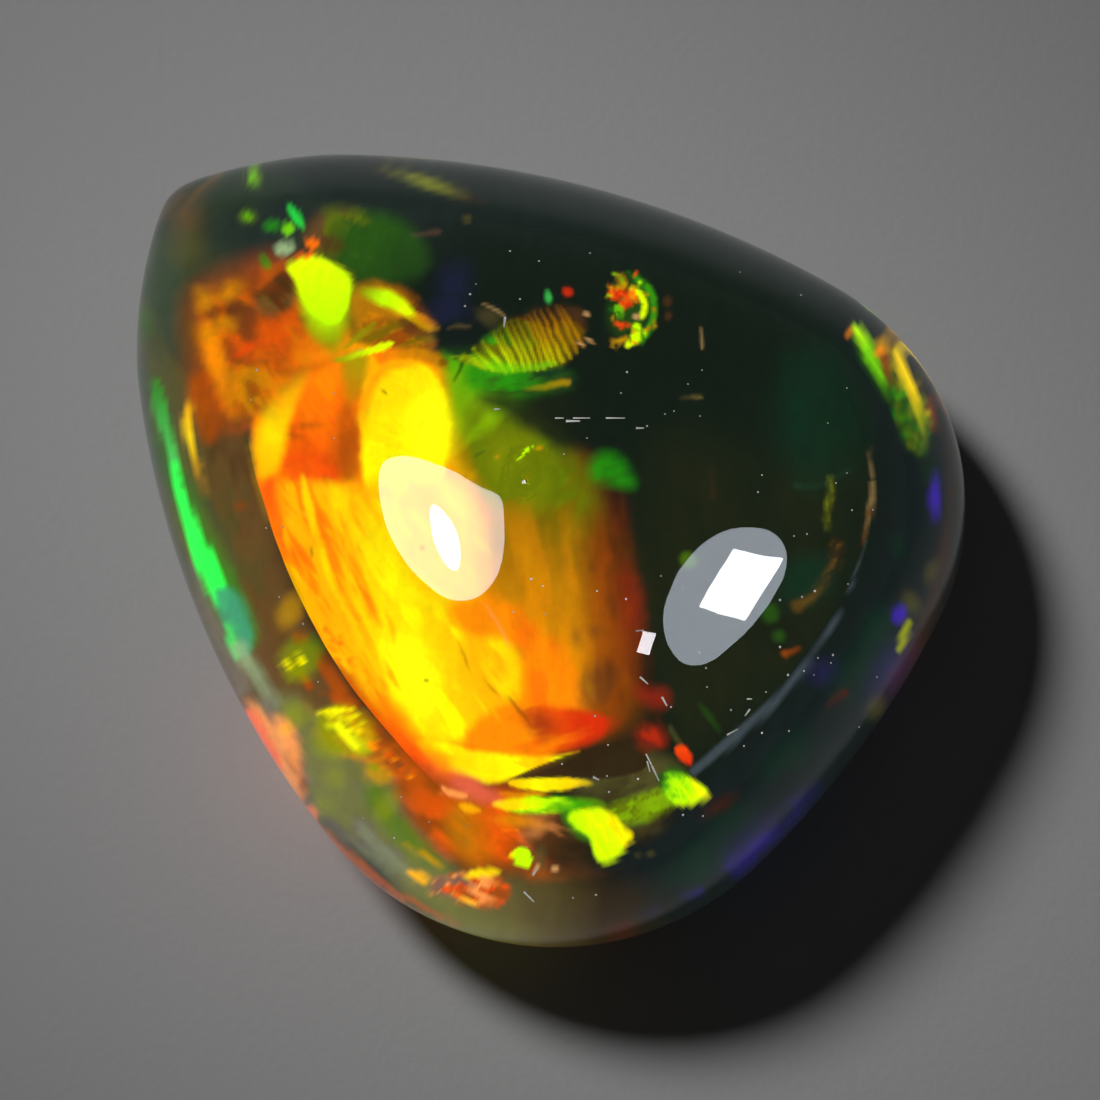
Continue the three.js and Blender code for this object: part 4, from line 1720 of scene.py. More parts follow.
# The mottled flashes towards the small corner.
UPPER_LEFT: Marks = (
    Dots("corner haze", ((184, 214, 30, 40, 0),), (Hue.BARK,), 34, 0.6),
    Dots("corner olive", ((186, 250, 34, 36, 0),), (Hue.MUD,), 30, 0.6),
    Patch("mottled haze", ((190, 292), (236, 270), (290, 256), (340, 300), (346, 336), (296, 360),
          (258, 396), (232, 426), (204, 414), (188, 350)), (Hue.RUST, Hue.BRICK), 52, 0.9,
          fade=((200, 330), (300, 350)), veins=Veins(-50, 60, 34, 0.5, 70, 0.8)),
    Patch("mottled reds", ((204, 300), (236, 282), (286, 270), (326, 304), (340, 344), (300, 372),
          (276, 410), (240, 430), (218, 414), (206, 360)),
          (Hue.UMBER, Hue.RUST, Hue.EMBER, Hue.RUST, Hue.UMBER), 34, 0.6,
          veins=Veins(-60, 46, 26, 1.0, 71, 0.8)),
    Patch("mottled red core", ((258, 322), (292, 312), (324, 330), (334, 360), (290, 376), (258, 358)),
          (Hue.EMBER, Hue.BRICK, Hue.EMBER), 26, 0.8, veins=Veins(-30, 40, 18, 0.8, 72, 0.8)),
    Patch("olive shade", ((254, 300), (270, 274), (292, 268), (300, 296), (284, 316), (262, 318)),
          (Hue.COFFEE, Hue.MUD), 14, 0.85, veins=Veins(-40, 40, 14, 0.8, 73)),
    Streak("dark bar", ((200, 308), (222, 313), (246, 308)), (Hue.COFFEE,), 14, 0.6, widths=(6, 9, 6)),
    Dots("orange blobs", ((203, 298, 14, 18, 0), (216, 296, 20, 10, 10), (231, 289, 24, 15, 30),
         (225, 324, 22, 18, 0)), (Hue.BRASS, Hue.HONEY), 18, 0.95, veins=Veins(30, 16, 10, 0.6, 74),
         ragged=5),
    Streak("orange bar", ((205, 326), (211, 346), (218, 368)), (Hue.HONEY, Hue.ORANGE, Hue.HONEY), 16, 0.95,
           widths=(12, 20, 14), fade=((204, 328), (217, 366)), veins=Veins(-66, 20, 6, 0.5, 87)),
    Streak("orange leg", ((216, 362), (224, 388), (234, 414)), (Hue.ORANGE, Hue.HONEY), 16, 0.85,
           widths=(14, 14, 8), fade=((214, 360), (236, 412))),
    Streak("brown curve", ((286, 260), (272, 272), (258, 288)), (Hue.BRICK,), 8, 0.7, widths=(4, 9, 6)),
    Dots("red wing", ((246, 349, 24, 8, 30),), (Hue.SCARLET,), 8, 0.7),
    Streak("dark crease", ((226, 358), (250, 363), (268, 360)), (Hue.UMBER,), 8, 0.6, widths=(3, 6, 4)),
    Patch("mottled shoulder", ((228, 366), (262, 362), (280, 380), (262, 410), (240, 420), (228, 396)),
          (Hue.HONEY, Hue.BRASS, Hue.RUST), 20, 0.8, veins=Veins(-50, 26, 14, 0.7, 75)),
    Patch("flame collar", ((290, 330), (330, 320), (356, 330), (352, 352), (320, 362), (292, 366)),
          (Hue.BRICK, Hue.ORANGE), 14, 0.85, fade=((300, 330), (320, 360))),
    Patch("orange web", ((346, 330), (366, 312), (410, 322), (436, 330), (440, 346), (404, 346),
          (366, 348)), (Hue.TORTOISE, Hue.BRASS, Hue.RUST), 14, 0.9, veins=Veins(24, 44, 9, 0.9, 76)),
    Patch("web brown", ((396, 314), (412, 308), (436, 330), (420, 338), (404, 332)), (Hue.UMBER,), 8, 0.7),
    Patch("cap", ((306, 238), (308, 225), (318, 213), (340, 207), (380, 212), (405, 222), (425, 240),
          (432, 262), (420, 280), (394, 284), (366, 284), (349, 274), (330, 262), (316, 252)),
          (Hue.BARK, Hue.OLIVINE, Hue.FOREST, Hue.FOREST), 20, 0.85, fade=((310, 222), (404, 256)),
          vanish=((378, 240), (450, 304)), veins=Veins(-20, 70, 24, 0.5, 77)),
    Patch("cap shade", ((316, 240), (334, 232), (346, 246), (334, 258), (322, 252)), (Hue.UMBER,), 12,
          0.75),
    Patch("lime halo", ((292, 262), (354, 268), (356, 310), (340, 346), (316, 344), (300, 320)),
          (Hue.OLIVE,), 14, 0.75),
    Patch("curl flesh", ((350, 288), (372, 280), (404, 288), (424, 304), (442, 330), (424, 334), (404, 316),
          (372, 320), (352, 326)), (Hue.BRASS, Hue.HONEY, Hue.CHESTNUT), 13, 0.85,
          fade=((356, 290), (436, 330)), veins=Veins(-24, 40, 10, 0.6, 78)),
    Streak("lime curl", ((362, 290), (386, 296), (404, 306), (416, 316)), (Hue.OLIVE, Hue.LIME, Hue.CITRUS),
           8, 0.95, widths=(6, 17, 12, 2), fade=((362, 290), (404, 308))),
    Streak("curl tip", ((412, 316), (428, 328), (440, 328)), (Hue.GOLD,), 4, 0.85, widths=(5, 7, 3)),
    Streak("lemon thread", ((334, 359), (360, 354), (380, 347), (392, 341)), (Hue.OLIVE, Hue.CITRUS), 3.5,
           0.95, widths=(3, 7, 9, 2), fade=((334, 359), (372, 350))),
    Streak("olive thread", ((344, 346), (362, 332), (376, 322)), (Hue.OLIVE,), 4, 0.8, widths=(3, 6, 3)),
    Streak("flag tail", ((324, 306), (328, 330), (336, 352)), (Hue.LIME, Hue.OLIVE), 22, 0.9,
           widths=(34, 26, 8), fade=((324, 312), (332, 344))),
    Patch("lime flag", ((284, 267), (300, 257), (312, 256), (324, 257), (331, 263), (345, 271), (350, 279),
          (350, 300), (345, 316), (334, 325), (322, 323), (310, 312), (301, 300), (296, 280)),
          (Hue.LIME, Hue.CITRUS), 7, 1.0, fade=((320, 320), (300, 262)), ragged=1.5),
    Dots("orange seed", ((313, 242, 13, 11, -20), (306, 255, 18, 6, 10)), (Hue.TANGERINE,), 5, 0.9),
    Streak("green leaf streak", ((289, 206), (297, 216), (304, 226)), (Hue.EMERALD,), 6, 0.55,
           widths=(3, 9, 3)),
    Dots("lime blob", ((289, 228, 13, 11, 20),), (Hue.LEAF,), 5, 0.95),
    Dots("silver blob", ((286, 246, 22, 13, 30),), (Hue.SILVER,), 5, 0.85, veins=Veins(30, 12, 6, 0.5, 80)),
    Dots("green dots", ((254, 174, 15, 17, 0), (248, 215, 15, 10, 10)), (Hue.MOSS,), 9, 0.9),
    Dots("green dot hearts", ((254, 174, 8, 9, 0), (248, 214, 7, 5, 0)), (Hue.LEAF,), 6, 0.6),
    Dots("green blobs", ((265, 262, 9, 15, 30), (272, 224, 16, 10, 0)), (Hue.GREEN,), 7, 0.75),
    Wisps("corner mottle", ((196, 300), (240, 278), (300, 300), (320, 350), (260, 410), (220, 410)),
          (Hue.BRASS, Hue.RUST, Hue.HONEY, Hue.EMBER, Hue.UMBER), 34, (10, 30), (5, 10), -50, 30, 501, 0.35,
          BOTH, 8),
)

# The flashes along the top of the back and the wall over it.
UPPER_MIDDLE: Marks = (
    Streak("top streak rust", ((362, 165), (380, 168), (402, 173)), (Hue.UMBER, Hue.BRONZE), 9, 0.6, WALL,
           widths=(2, 5, 5), fade=((362, 165), (402, 173))),
    Streak("top streak green", ((386, 168), (424, 180), (466, 194)), (Hue.KHAKI,), 12, 0.8, WALL,
           widths=(5, 10, 5), ragged=0.6),
    Streak("top streak light", ((408, 175), (430, 182), (452, 190)), (Hue.OLIVE,), 10, 0.6, WALL,
           widths=(4, 8, 4), ragged=0.6),
    Streak("top streak end", ((450, 189), (468, 196), (486, 201)), (Hue.UMBER,), 9, 0.6, WALL,
           widths=(5, 6, 2)),
    Streak("pink trace", ((412, 234), (438, 232)), (Hue.MAUVE,), 6, 0.35, widths=(3, 5)),
    Dots("olive trace", ((466, 218, 8, 8, 0), (560, 332, 10, 6, 30)), (Hue.MUD,), 6, 0.7),
    Dots("violet glow", ((456, 284, 24, 30, 0), (449, 308, 28, 26, -30), (458, 334, 30, 18, 0)),
         (Hue.INDIGO,), 36, 0.5, ragged=6),
    Dots("olive gleam", ((487, 318, 22, 13, -20),), (Hue.BRONZE,), 14, 0.5, ragged=5),
    Streak("tan thread", ((483, 303), (494, 309), (504, 316)), (Hue.TAN,), 3, 0.8, widths=(2, 3, 2)),
    Streak("tan glints", ((448, 328), (458, 325), (470, 326)), (Hue.TAN,), 3, 0.8, widths=(2, 4, 2)),
    Streak("dark crack", ((470, 350), (462, 366), (455, 382)), (Hue.NIGHT,), 4, 0.9, BACK,
           widths=(5, 4, 2)),
    Patch("dark inlet", ((430, 326), (470, 320), (500, 332), (480, 350), (460, 362), (440, 346)),
          (Hue.INK,), 10, 0.85),
    Patch("green under stripes", ((466, 360), (500, 366), (560, 366), (580, 380), (560, 396), (500, 400),
          (466, 390)), (Hue.GREEN, Hue.FOREST, Hue.PINE), 18, 0.9, BACK, fade=((480, 376), (580, 384)),
          veins=Veins(10, 40, 9, 0.6, 81)),
    Patch("striped patch", ((470, 352), (490, 338), (510, 322), (534, 308), (568, 304), (586, 314),
          (584, 334), (572, 356), (556, 368), (500, 372), (476, 366)),
          (Hue.UMBER, Hue.CHESTNUT, Hue.TORTOISE, Hue.OLIVINE, Hue.GRASS), 14, 0.85, BACK,
          fade=((548, 304), (520, 372)), veins=Veins(-20, 40, 16, 0.5, 82), ragged=4),
    *stripes(),
    Streak("lime underline", ((474, 357), (500, 368), (530, 368), (556, 362)), (Hue.LEAF,), 5, 0.7, BACK,
           widths=(4, 9, 8, 3), veins=Veins(10, 16, 5, 0.6, 83)),
    Streak("tan lime streak", ((526, 389), (548, 386), (568, 381)), (Hue.OLIVE, Hue.GOLD), 5, 0.7, BACK,
           widths=(3, 7, 5), fade=((526, 389), (568, 381)), veins=Veins(6, 14, 4, 0.3, 84)),
    Dots("end glints", ((580, 344, 8, 3, -30), (590, 340, 9, 3, -30), (586, 314, 8, 4, -20)), (Hue.SAND,),
         3, 0.8, BACK),
    Patch("dark lens", ((474, 395), (520, 393), (560, 391), (640, 388), (700, 394), (670, 420), (600, 440),
          (560, 452), (540, 436), (510, 416), (490, 408)), (Hue.SOOT, Hue.INK), 20, 0.9, BACK,
          fade=((490, 400), (600, 420))),
    Dots("red seed", ((569, 291, 10, 8, 0),), (Hue.RED,), 5, 0.8),
    Dots("green seed", ((549, 296, 6, 10, 10),), (Hue.JADE,), 4, 0.6),
    Dots("cluster ground", ((630, 306, 40, 60, -12),), (Hue.FOREST,), 16, 0.6),
    Streak("cluster outer arc", ((634, 274), (650, 286), (656, 304), (650, 326), (640, 342)), (Hue.GRASS,),
           5, 0.8, widths=(3, 6, 6, 6, 3), veins=Veins(70, 12, 5, 0.5, 85)),
    Streak("cluster lime arc", ((632, 286), (642, 292), (646, 304), (642, 316)), (Hue.CITRUS,), 4, 0.95,
           widths=(3, 7, 7, 3)),
    Dots("cluster yellow", ((621, 279, 13, 8, 0), (620, 340, 14, 7, 20)), (Hue.GOLD,), 5, 0.9, ragged=7),
    Dots("cluster red", ((615, 287, 16, 15, -20), (626, 296, 10, 18, 20), (624, 322, 13, 8, 0)),
         (Hue.SCARLET, Hue.RED), 5, 0.95, veins=Veins(-40, 8, 5, 1.0, 88), ragged=7),
    Dots("cluster orange", ((634, 292, 8, 14, 20), (611, 281, 9, 6, 0)), (Hue.ORANGE,), 4, 0.9, ragged=6),
    Dots("cluster lime", ((624, 308, 9, 11, 0),), (Hue.LEAF,), 4, 0.8, ragged=7),
    Streak("cluster tail", ((637, 324), (638, 336), (628, 345)), (Hue.LIME, Hue.CITRUS), 4, 1.0,
           widths=(6, 10, 5), fade=((637, 324), (628, 345))),
    Dots("cluster pale", ((637, 315, 6, 5, 0),), (Hue.SAND,), 3, 0.8),
    Wisps("cluster threads", ((606, 270), (640, 270), (660, 300), (650, 344), (620, 346), (608, 300)),
          (Hue.LIME, Hue.GREEN, Hue.SCARLET, Hue.GOLD, Hue.FOREST, Hue.NIGHT), 44, (4, 11), (2, 4), -50, 40,
          701, 0.8),
    Dots("dim smudges", ((668, 300, 8, 9, 0), (668, 315, 7, 8, 0)), (Hue.UMBER,), 6, 0.8),
    Streak("tan glint", ((701, 328), (702, 346)), (Hue.TAN,), 3, 0.7, widths=(2, 3)),
    Patch("green patch", ((588, 463), (600, 452), (614, 454), (624, 460), (632, 476), (635, 488),
          (612, 484), (590, 481)), (Hue.GREEN,), 20, 0.95, BACK, veins=Veins(20, 30, 14, 0.3, 86),
          ragged=0.6),
    Streak("lime dash", ((519, 458), (525, 452), (531, 447)), (Hue.LIME,), 3, 0.95, BACK, widths=(3, 5, 3)),
    Dots("tan dots", ((538, 449, 6, 4, 0), (497, 457, 4, 4, 0), (470, 476, 12, 9, 0)), (Hue.GOLD,), 3, 0.8,
         BACK),
    Streak("dark scratch", ((472, 457), (480, 451), (487, 447)), (Hue.FOREST,), 3, 0.8, BACK,
           widths=(1, 3, 1)),
)

# The bright knot high on the right wall.
RIGHT_RIM: Marks = (
    Dots("orange dot", ((850, 332, 7, 6, 0),), (Hue.ORANGE,), 5, 0.8, WALL),
    Streak("green bar glow", ((858, 330), (872, 356), (892, 400)), (Hue.FOREST,), 10, 0.8, WALL,
           widths=(12, 20, 6)),
    Streak("green bar", ((855, 325), (864, 336), (871, 352), (880, 374), (889, 396)),
           (Hue.LIME, Hue.LEAF, Hue.LEAF, Hue.FOREST), 7, 0.95, WALL, widths=(4, 9, 11, 7, 2),
           fade=((858, 328), (888, 396))),
    Patch("gold knot", ((876, 338), (888, 334), (896, 344), (891, 353), (879, 352)), (Hue.GOLD,), 8, 0.8,
          WALL, veins=Veins(-40, 16, 6, 0.3, 91)),
    Dots("orange knot", ((881, 350, 10, 9, 0),), (Hue.ORANGE,), 7, 0.7, WALL),
    Streak("brick knot", ((884, 354), (888, 368), (896, 386)), (Hue.RUST,), 9, 0.8, WALL, widths=(7, 9, 6)),
    Streak("yellow bar rim", ((921, 380), (931, 404), (936, 430)), (Hue.RUST,), 7, 0.5, WALL,
           widths=(3, 6, 4)),
    Patch("skirt shade", ((884, 360), (906, 360), (934, 430), (926, 462), (900, 440)), (Hue.FOREST,), 14,
          0.6, WALL),
    Wisps("skirt greens", ((888, 376), (910, 376), (932, 430), (922, 460), (900, 440)),
          (Hue.GREEN, Hue.GRASS, Hue.OLIVINE, Hue.FOREST), 34, (6, 18), (3, 7), -60, 24, 602, 0.6, WALL, 5),
    Wisps("knot threads", ((886, 340), (904, 346), (936, 420), (926, 440), (896, 400)),
          (Hue.YELLOW, Hue.OLIVE, Hue.RUST, Hue.LEAF), 20, (8, 20), (2, 4), -62, 10, 601, 0.4, WALL, 4),
    Streak("yellow bar", ((895, 347), (904, 365), (912, 386), (919, 408), (925, 431), (926, 449)),
           (Hue.YELLOW, Hue.YELLOW, Hue.OLIVE, Hue.MUD), 7, 0.95, WALL, widths=(4, 9, 9, 8, 5, 3),
           fade=((898, 352), (926, 452)), ragged=1.5),
    Dots("rim green", ((900, 545, 16, 22, 0), (930, 470, 14, 20, 0)), (Hue.BOTTLE,), 14, 0.5, WALL),
)

# Every flash, in the order in which they are laid.
ALL_FLASHES: Marks = (
    *BROAD_TONES, *WALL_TINTS, *RIGHT_OF_THE_BACK, *FLAME_BODY, *FLAME_FIBRES, *FLAME_WISPS,
    *UNDER_THE_FLAME, *LEFT_RIM, *LOWER_LEFT, *UPPER_LEFT, *UPPER_MIDDLE, *RIGHT_RIM,
)


def paint(side: Side, pixels: np.ndarray) -> Painter:
    """Paint every flash on one inner surface.

    Args:
        side: Which surface.
        pixels: Where each of its points shows.

    Returns:
        The painter, with the finished colours.
    """
    painter = Painter(side, pixels, Hue.INK)
    for flash in ALL_FLASHES:
        for part in flash.streaks() if isinstance(flash, Wisps) else [flash]:
            painter.lay(part)
    return painter


@dataclass
class Opal:
    """The stone: its clear body and the inner sheets that carry its play of colour."""

    shape: StoneShape = field(default_factory=StoneShape)
    body_meridians: int = 720
    sheet_meridians: int = 1056
    wall_rings: int = 24
    dome_rings: int = 72
    sheet_wall_rings: int = 64
    under_rings: int = 12
    inner_depth: float = 0.07
    inner_thickness: float = 0.05
    inner_top: float = 0.965
    flat_shares: tuple[float, ...] = (0.25, 0.5, 0.75, 0.98)

    def body(self) -> bpy.types.Object:
        """Make the clear stone, which stands for the solid.

        Returns:
            The piece.
        """
        shape, around = self.shape, self.body_meridians
        lines = shape.meridians(around)
        quarter = math.pi / 2
        bent = BentMesh("opal_body")
        bent.rings([
            pole(lines.crown, 0.0, around),
            *(shape.flat_ring(lines, share, 0.0) for share in self.flat_shares),
            *(shape.wall_ring(lines, i / self.wall_rings) for i in range(self.wall_rings)),
            *(shape.dome_ring(lines, quarter * i / self.dome_rings) for i in range(self.dome_rings)),
            pole(lines.crown, shape.height, around),
        ])
        piece = add_piece(bent.close(), ClearOpal().material())
        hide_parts(NODE)
        return piece

    def back_sheet(self) -> bpy.types.Mesh:
        """Make the thin sheet of colour that lies along the flat back.

        Returns:
            The sheet's mesh.
        """
        shape, around, under = self.shape, self.sheet_meridians, self.under_rings
        lines = shape.meridians(around)
        low, high = self.inner_depth, self.inner_depth + self.inner_thickness
        edge = shape.flat_ring(lines, 1.0, high)
        bent = BentMesh("colour_on_the_back")
        bent.disc(edge, lines.crown)
        bent.rings([
            edge, *(shape.flat_ring(lines, i / under, low) for i in range(under, 0, -1)),
            pole(lines.crown, low, around),
        ])
        return bent.close()

    def wall_sheet(self) -> bpy.types.Mesh:
        """Make the thin sheet of colour that lines the wall, from the back's edge to the girdle.

        Returns:
            The sheet's mesh.
        """
        shape, count, under = self.shape, self.sheet_wall_rings, self.under_rings
        lines = shape.meridians(self.sheet_meridians)
        low, high = self.inner_depth, self.inner_depth + self.inner_thickness
        top = self.inner_top
        rings = [shape.wall_ring(lines, i / count * top, high) for i in range(count + 1)]
        rings += [shape.wall_ring(lines, i / under * top, low) for i in range(under, -1, -1)]
        bent = BentMesh("colour_on_the_wall")
        bent.rings([*rings, rings[0]])
        return bent.close()

    def colour(self, sight: Sight, body_mesh: bpy.types.Mesh) -> list[bpy.types.Object]:
        """Make and paint the inner sheets.

        Args:
            sight: The eye that places each flash.
            body_mesh: The clear stone's mesh.

        Returns:
            The two pieces.
        """
        sheets = {Side.BACK: self.back_sheet(), Side.WALL: self.wall_sheet()}
        sight.look_at(body_mesh, list(sheets.values()))
        seen = SeenMap(sight)
        material = PlayOfColour().material()
        pieces = []
        for side, mesh in sheets.items():
            flat = np.empty(len(mesh.vertices) * 3)
            mesh.vertices.foreach_get("co", flat)
            paint(side, seen.read(flat.reshape(-1, 3)[:, :2] / METRES)).store(mesh)
            pieces.append(add_piece(mesh, material))
        return pieces


@dataclass(frozen=True)
class DustAndLint:
    """The pale specks and bits of lint on the polish, placed by the pixels where they show."""

    specks: tuple[tuple[float, float, float], ...] = (
        (470, 294, 4), (465, 306, 3.5), (520, 299, 3), (476, 284, 2.5), (510, 251, 3.5), (539, 261, 3),
        (590, 253, 3), (740, 272, 3), (801, 295, 3), (627, 372, 3.5), (621, 393, 2.5), (702, 370, 2.5),
        (688, 384, 2.5), (700, 416, 2.5), (665, 414, 2.5), (674, 411, 2.5), (647, 426, 3), (587, 438, 2.5),
        (564, 454, 2.5), (758, 492, 3), (762, 475, 2.5), (828, 423, 2.5), (847, 388, 2.5), (847, 473, 2.5),
        (836, 483, 2.5), (852, 510, 3), (807, 534, 3), (794, 536, 2.5), (769, 547, 3), (626, 599, 3.5),
        (597, 591, 3), (595, 716, 3.5), (702, 576, 3), (706, 582, 2.5), (682, 588, 3), (667, 635, 3),
        (672, 633, 2.5), (678, 635, 3), (699, 653, 4), (671, 707, 3), (707, 687, 3), (706, 668, 3),
        (731, 710, 3.5), (762, 733, 3.5), (744, 746, 3), (608, 745, 3), (661, 576, 2.5), (802, 597, 3.5),
        (815, 591, 4), (780, 600, 4), (848, 584, 2.5), (780, 647, 4), (788, 675, 4), (804, 671, 3.5),
        (818, 658, 3), (833, 655, 4), (831, 663, 3), (814, 675, 2.5), (766, 692, 3), (789, 731, 3.5),
        (877, 677, 3), (859, 727, 4), (607, 776, 3), (638, 779, 4), (609, 792, 3.5), (562, 764, 3),
        (683, 815, 4), (703, 816, 3), (596, 895, 4), (573, 898, 4), (251, 400, 3), (266, 528, 3),
        (283, 527, 3), (334, 438, 2.5), (334, 393, 2.5), (257, 370, 4), (279, 597, 3), (303, 624, 3.5),
        (531, 579, 4), (513, 612, 3), (545, 614, 2.5), (543, 586, 3), (401, 797, 3), (429, 822, 3),
        (394, 838, 4), (467, 826, 2.5), (360, 350, 2.5), (318, 682, 3), (363, 818, 2.5), (873, 510, 2.5),
        (505, 318, 3),
    )
    lint: tuple[tuple[float, float, float, float, float], ...] = (
        (555, 418, 564, 418, 2.2), (566, 421, 580, 421, 3.6), (573, 418, 590, 418, 2.2),
        (606, 418, 625, 418, 2.2), (636, 428, 644, 428, 3), (505, 317, 504, 327, 4),
        (640, 677, 648, 684, 3), (662, 697, 667, 706, 3.4), (727, 735, 738, 729, 3),
        (750, 709, 745, 716, 3.6), (747, 699, 752, 699, 3), (646, 754, 652, 766, 2.6),
        (652, 766, 659, 781, 3.2), (647, 761, 650, 772, 2.2), (593, 777, 599, 780, 4),
        (524, 892, 529, 897, 4), (529, 897, 534, 902, 3), (636, 631, 644, 630, 2.4),
        (533, 875, 538, 868, 3), (494, 409, 500, 409, 2.4),
    )
    shrink: float = 0.72
    sink: float = 0.35
    flatness: float = 0.6
    taper: float = 0.6
    sides: int = 6

    def build(self, sight: Sight, top: float) -> bpy.types.Object:
        """Lay the specks and lint on the dome as one piece.

        Args:
            sight: The eye.
            top: The height that nothing may pass.

        Returns:
            The piece.
        """
        shaped = bmesh.new()
        for x, y, width in self.specks:
            radius = width * self.shrink / sight.pixels_per_mm / 2
            point, normal = sight.dome.meet(sight.eye, sight.ray((x, y)))
            place = Matrix.Translation(point - normal * radius * self.flatness * self.sink)
            squash = Matrix.Diagonal((1.0, 1.0, self.flatness, 1.0))
            turned = normal.to_track_quat("Z", "Y").to_matrix().to_4x4()
            bmesh.ops.create_icosphere(
                shaped, subdivisions=1, radius=radius, matrix=place @ turned @ squash
            )
        for x, y, end_x, end_y, width in self.lint:
            radius = width * self.shrink / sight.pixels_per_mm / 2
            start, normal = sight.dome.meet(sight.eye, sight.ray((x, y)))
            end, _ = sight.dome.meet(sight.eye, sight.ray((end_x, end_y)))
            run = end - start
            place = Matrix.Translation((start + end) / 2 - normal * radius * self.sink)
            turned = run.to_track_quat("Z", "Y").to_matrix().to_4x4()
            bmesh.ops.create_cone(
                shaped, cap_ends=True, segments=self.sides, radius1=radius,
                radius2=radius * self.taper, depth=run.length, matrix=place @ turned,
            )
        for vert in shaped.verts:
            vert.co.z = min(vert.co.z, top)
        bmesh.ops.scale(shaped, vec=(METRES,) * 3, verts=shaped.verts)
        mesh = bpy.data.meshes.new("dust_and_lint")
        shaped.to_mesh(mesh)
        shaped.free()
        return add_piece(mesh, PaleDust().material())


def light_only(lamp: bpy.types.Object, things: Sequence[bpy.types.Object]) -> None:
    """Let a lamp light some things and nothing else.

    Args:
        lamp: The lamp.
        things: What it lights.
    """
    lit = bpy.data.collections.new(f"lit by the {lamp.name}")
    for thing in things:
        lit.objects.link(thing)
    lamp.light_linking.receiver_collection = lit


class Outline(Enum):
    """The outline of a lit area, as the light's own shape setting."""

    OVAL = "ELLIPSE"
    OBLONG = "RECTANGLE"

    def area(self, wide: float, high: float) -> float:
        """Give the area that it fills."""
        return wide * high * (math.pi / 4 if self is Outline.OVAL else 1.0)


LAMP_DISTANCE = 292.0


@dataclass(frozen=True)
class Softbox:
    """A studio light, placed so that its reflection in the dome spans given pixels."""

    name: str
    middle: Pixel
    side: Pixel
    top: Pixel
    radiance: float
    colour: tuple[float, float, float] = (1.0, 1.0, 1.0)
    outline: Outline = Outline.OVAL
    distance: float = 300.0

    def hang(self, sight: Sight, pieces: Sequence[bpy.types.Object]) -> bpy.types.Object:
        """Make the light.

        Args:
            sight: The eye that sees the reflection.
            pieces: The only things that it lights.

        Returns:
            The light's object.
        """
        seen = [sight.glance(pixel) for pixel in (self.middle, self.side, self.top)]
        middle, side, top = (point + toward * self.distance for point, toward in seen)
        facing = seen[0][1].normalized()
        across = side - middle
        across -= facing * across.dot(facing)
        upward = facing.cross(across).normalized()
        data = bpy.data.lights.new(self.name, "AREA")
        data.shape = self.outline.value
        data.size = 2 * across.length * METRES
        data.size_y = 2 * abs((top - middle).dot(upward)) * METRES
        data.energy = self.radiance * math.pi * self.outline.area(data.size, data.size_y)
        data.color = self.colour
        made = bpy.data.objects.new(self.name, data)
        made.location = middle * METRES
        turned = Matrix((across.normalized(), upward, facing)).transposed()
        made.rotation_euler = turned.to_euler()
        bpy.context.scene.collection.objects.link(made)
        light_only(made, pieces)
        return made


@dataclass(frozen=True)
class ShadowLamp:
    """A soft lamp on the upper left, which throws the stone's shadow to the lower right.

    Its pool of light fades beyond the frame, so the rim of the stone mirrors a darkening floor.
    """

    toward: tuple[float, float, float] = (-0.46, 0.43, 0.76)
    distance: float = 160.0
    radius: float = 20.0
    radiance: float = 99.0
    pool_degrees: float = 20.5

    def hang(self, floor: bpy.types.Object) -> bpy.types.Object:
        """Make the lamp.

        Args:
            floor: The ground, the only thing that it lights.

        Returns:
            The lamp's object.
        """
        data = bpy.data.lights.new("shadow lamp", "SPOT")
        data.shadow_soft_size = self.radius * METRES
        data.spot_size = math.radians(self.pool_degrees)
        data.spot_blend = 1.0
        data.energy = self.radiance * (2 * math.pi * data.shadow_soft_size) ** 2
        made = bpy.data.objects.new("shadow lamp", data)
        toward = Vector(self.toward).normalized()
        made.location = toward * self.distance * METRES
        made.rotation_euler = toward.to_track_quat("Z", "Y").to_euler()
        bpy.context.scene.collection.objects.link(made)
        light_only(made, [floor])
        return made


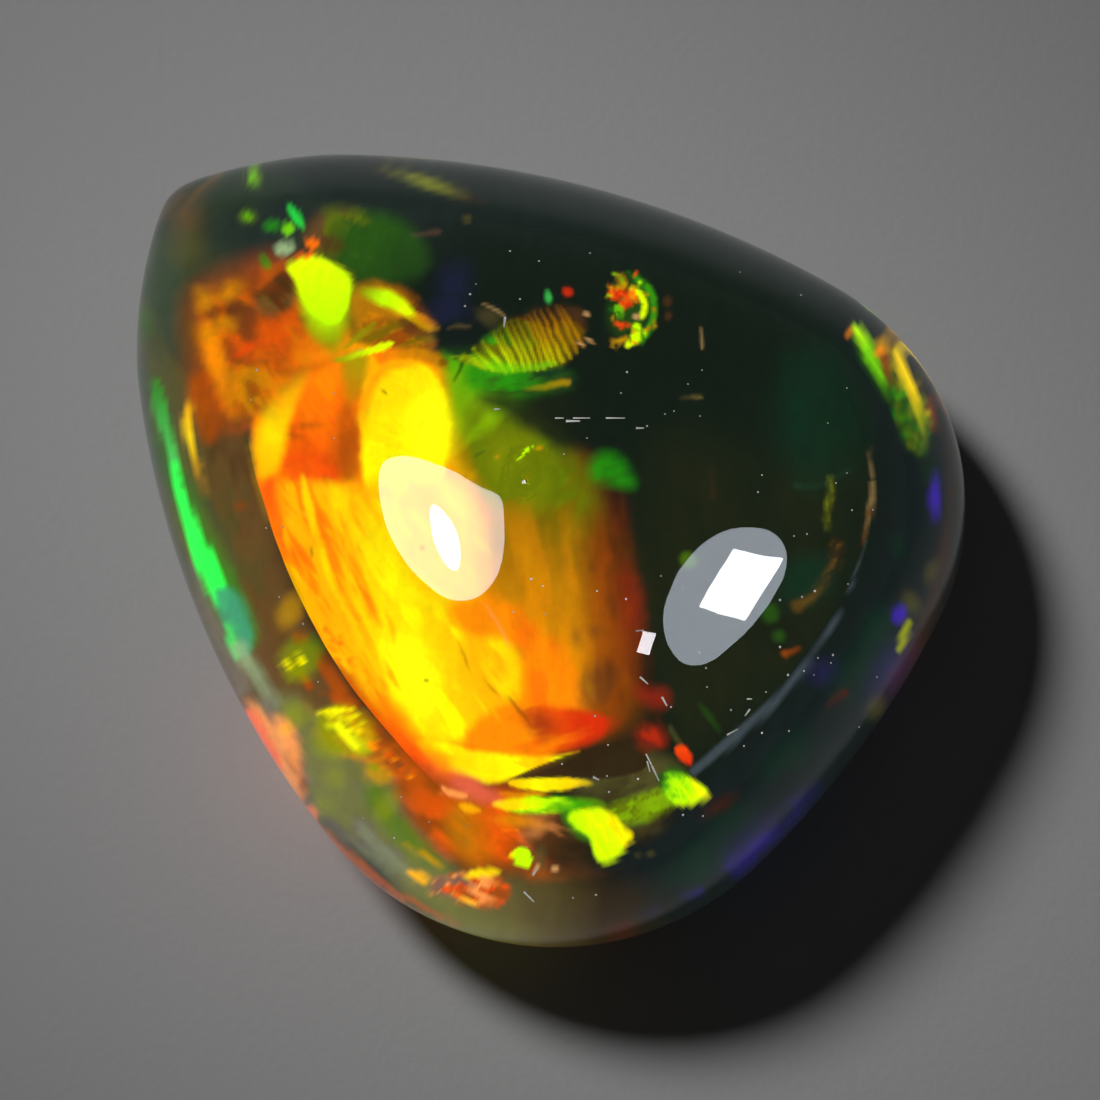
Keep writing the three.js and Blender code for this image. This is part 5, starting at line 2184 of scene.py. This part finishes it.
@dataclass(frozen=True)
class Studio:
    """The plain grey floor, the lights and the dim surroundings."""

    floor_size: float = 1200.0
    floor_cells: int = 8
    floor_drop: float = 0.01
    world_level: float = 0.028
    horizon_level: float = 0.035
    dusk: float = 0.55
    lights: tuple[Softbox, ...] = (
        Softbox("key softbox", (442, 529), (506, 552), (424, 456), 11.0, (1.0, 0.98, 1.0)),
        Softbox("key lamp", (446, 537), (457, 533), (434, 503), 34.0, distance=LAMP_DISTANCE),
        Softbox("side softbox", (726, 590), (772, 600), (738, 522), 8.6, (0.80, 0.88, 1.0)),
        Softbox(
            "side lamp", (742, 583), (766, 588), (742, 552), 30.0, outline=Outline.OBLONG,
            distance=LAMP_DISTANCE,
        ),
        Softbox(
            "small window", (646, 644), (653, 645), (647, 633), 24.0, (1.0, 0.95, 1.0),
            Outline.OBLONG, LAMP_DISTANCE,
        ),
    )
    shadow_lamp: ShadowLamp = ShadowLamp()

    def build(self, sight: Sight, pieces: Sequence[bpy.types.Object]) -> None:
        """Make the floor, the lights and the surroundings.

        Args:
            sight: The eye.
            pieces: The stone's pieces, which the softboxes light.
        """
        shaped = bmesh.new()
        cells, half = self.floor_cells, self.floor_size * METRES / 2
        bmesh.ops.create_grid(shaped, x_segments=cells, y_segments=cells, size=half)
        bmesh.ops.translate(shaped, vec=(0, 0, -self.floor_drop * METRES), verts=shaped.verts)
        mesh = bpy.data.meshes.new("floor")
        shaped.to_mesh(mesh)
        shaped.free()
        floor = bpy.data.objects.new("floor", mesh)
        bpy.context.scene.collection.objects.link(floor)
        mesh.materials.append(StudioFloor().material())
        for light in self.lights:
            light.hang(sight, pieces)
        self.shadow_lamp.hang(floor)
        bpy.context.scene.world = self.surroundings()

    def surroundings(self) -> bpy.types.World:
        """Make the grey surroundings, which grow darker from the horizon upwards.

        Returns:
            The world.
        """
        bench = Bench(bpy.data.worlds.new("studio"))
        toward = bench.node("ShaderNodeTexCoord", {}, {}, "Generated")
        upward = bench.node("ShaderNodeSeparateXYZ", {}, {0: toward}, "Z")
        level = bench.node(
            "ShaderNodeMapRange", {"interpolation_type": "SMOOTHSTEP"},
            {
                "Value": upward, "From Max": self.dusk, "To Min": self.horizon_level,
                "To Max": self.world_level,
            },
        )
        return bench.finish(bench.node("ShaderNodeBackground", {}, {"Color": WHITE, "Strength": level}))


def main() -> None:
    """Build the stone, the studio and the camera."""
    logging.basicConfig(level=logging.INFO, format="%(message)s")
    bpy.context.scene.view_settings.view_transform = "Standard"
    sight = Sight()
    opal = Opal()
    body = opal.body()
    pieces = [body, *opal.colour(sight, body.data)]
    pieces.append(DustAndLint().build(sight, opal.shape.height))
    for piece in pieces:
        log.info("%s: %d faces", piece.name, len(piece.data.polygons))
    Studio().build(sight, pieces)
    sight.camera()


if __name__ == "__main__":
    main()
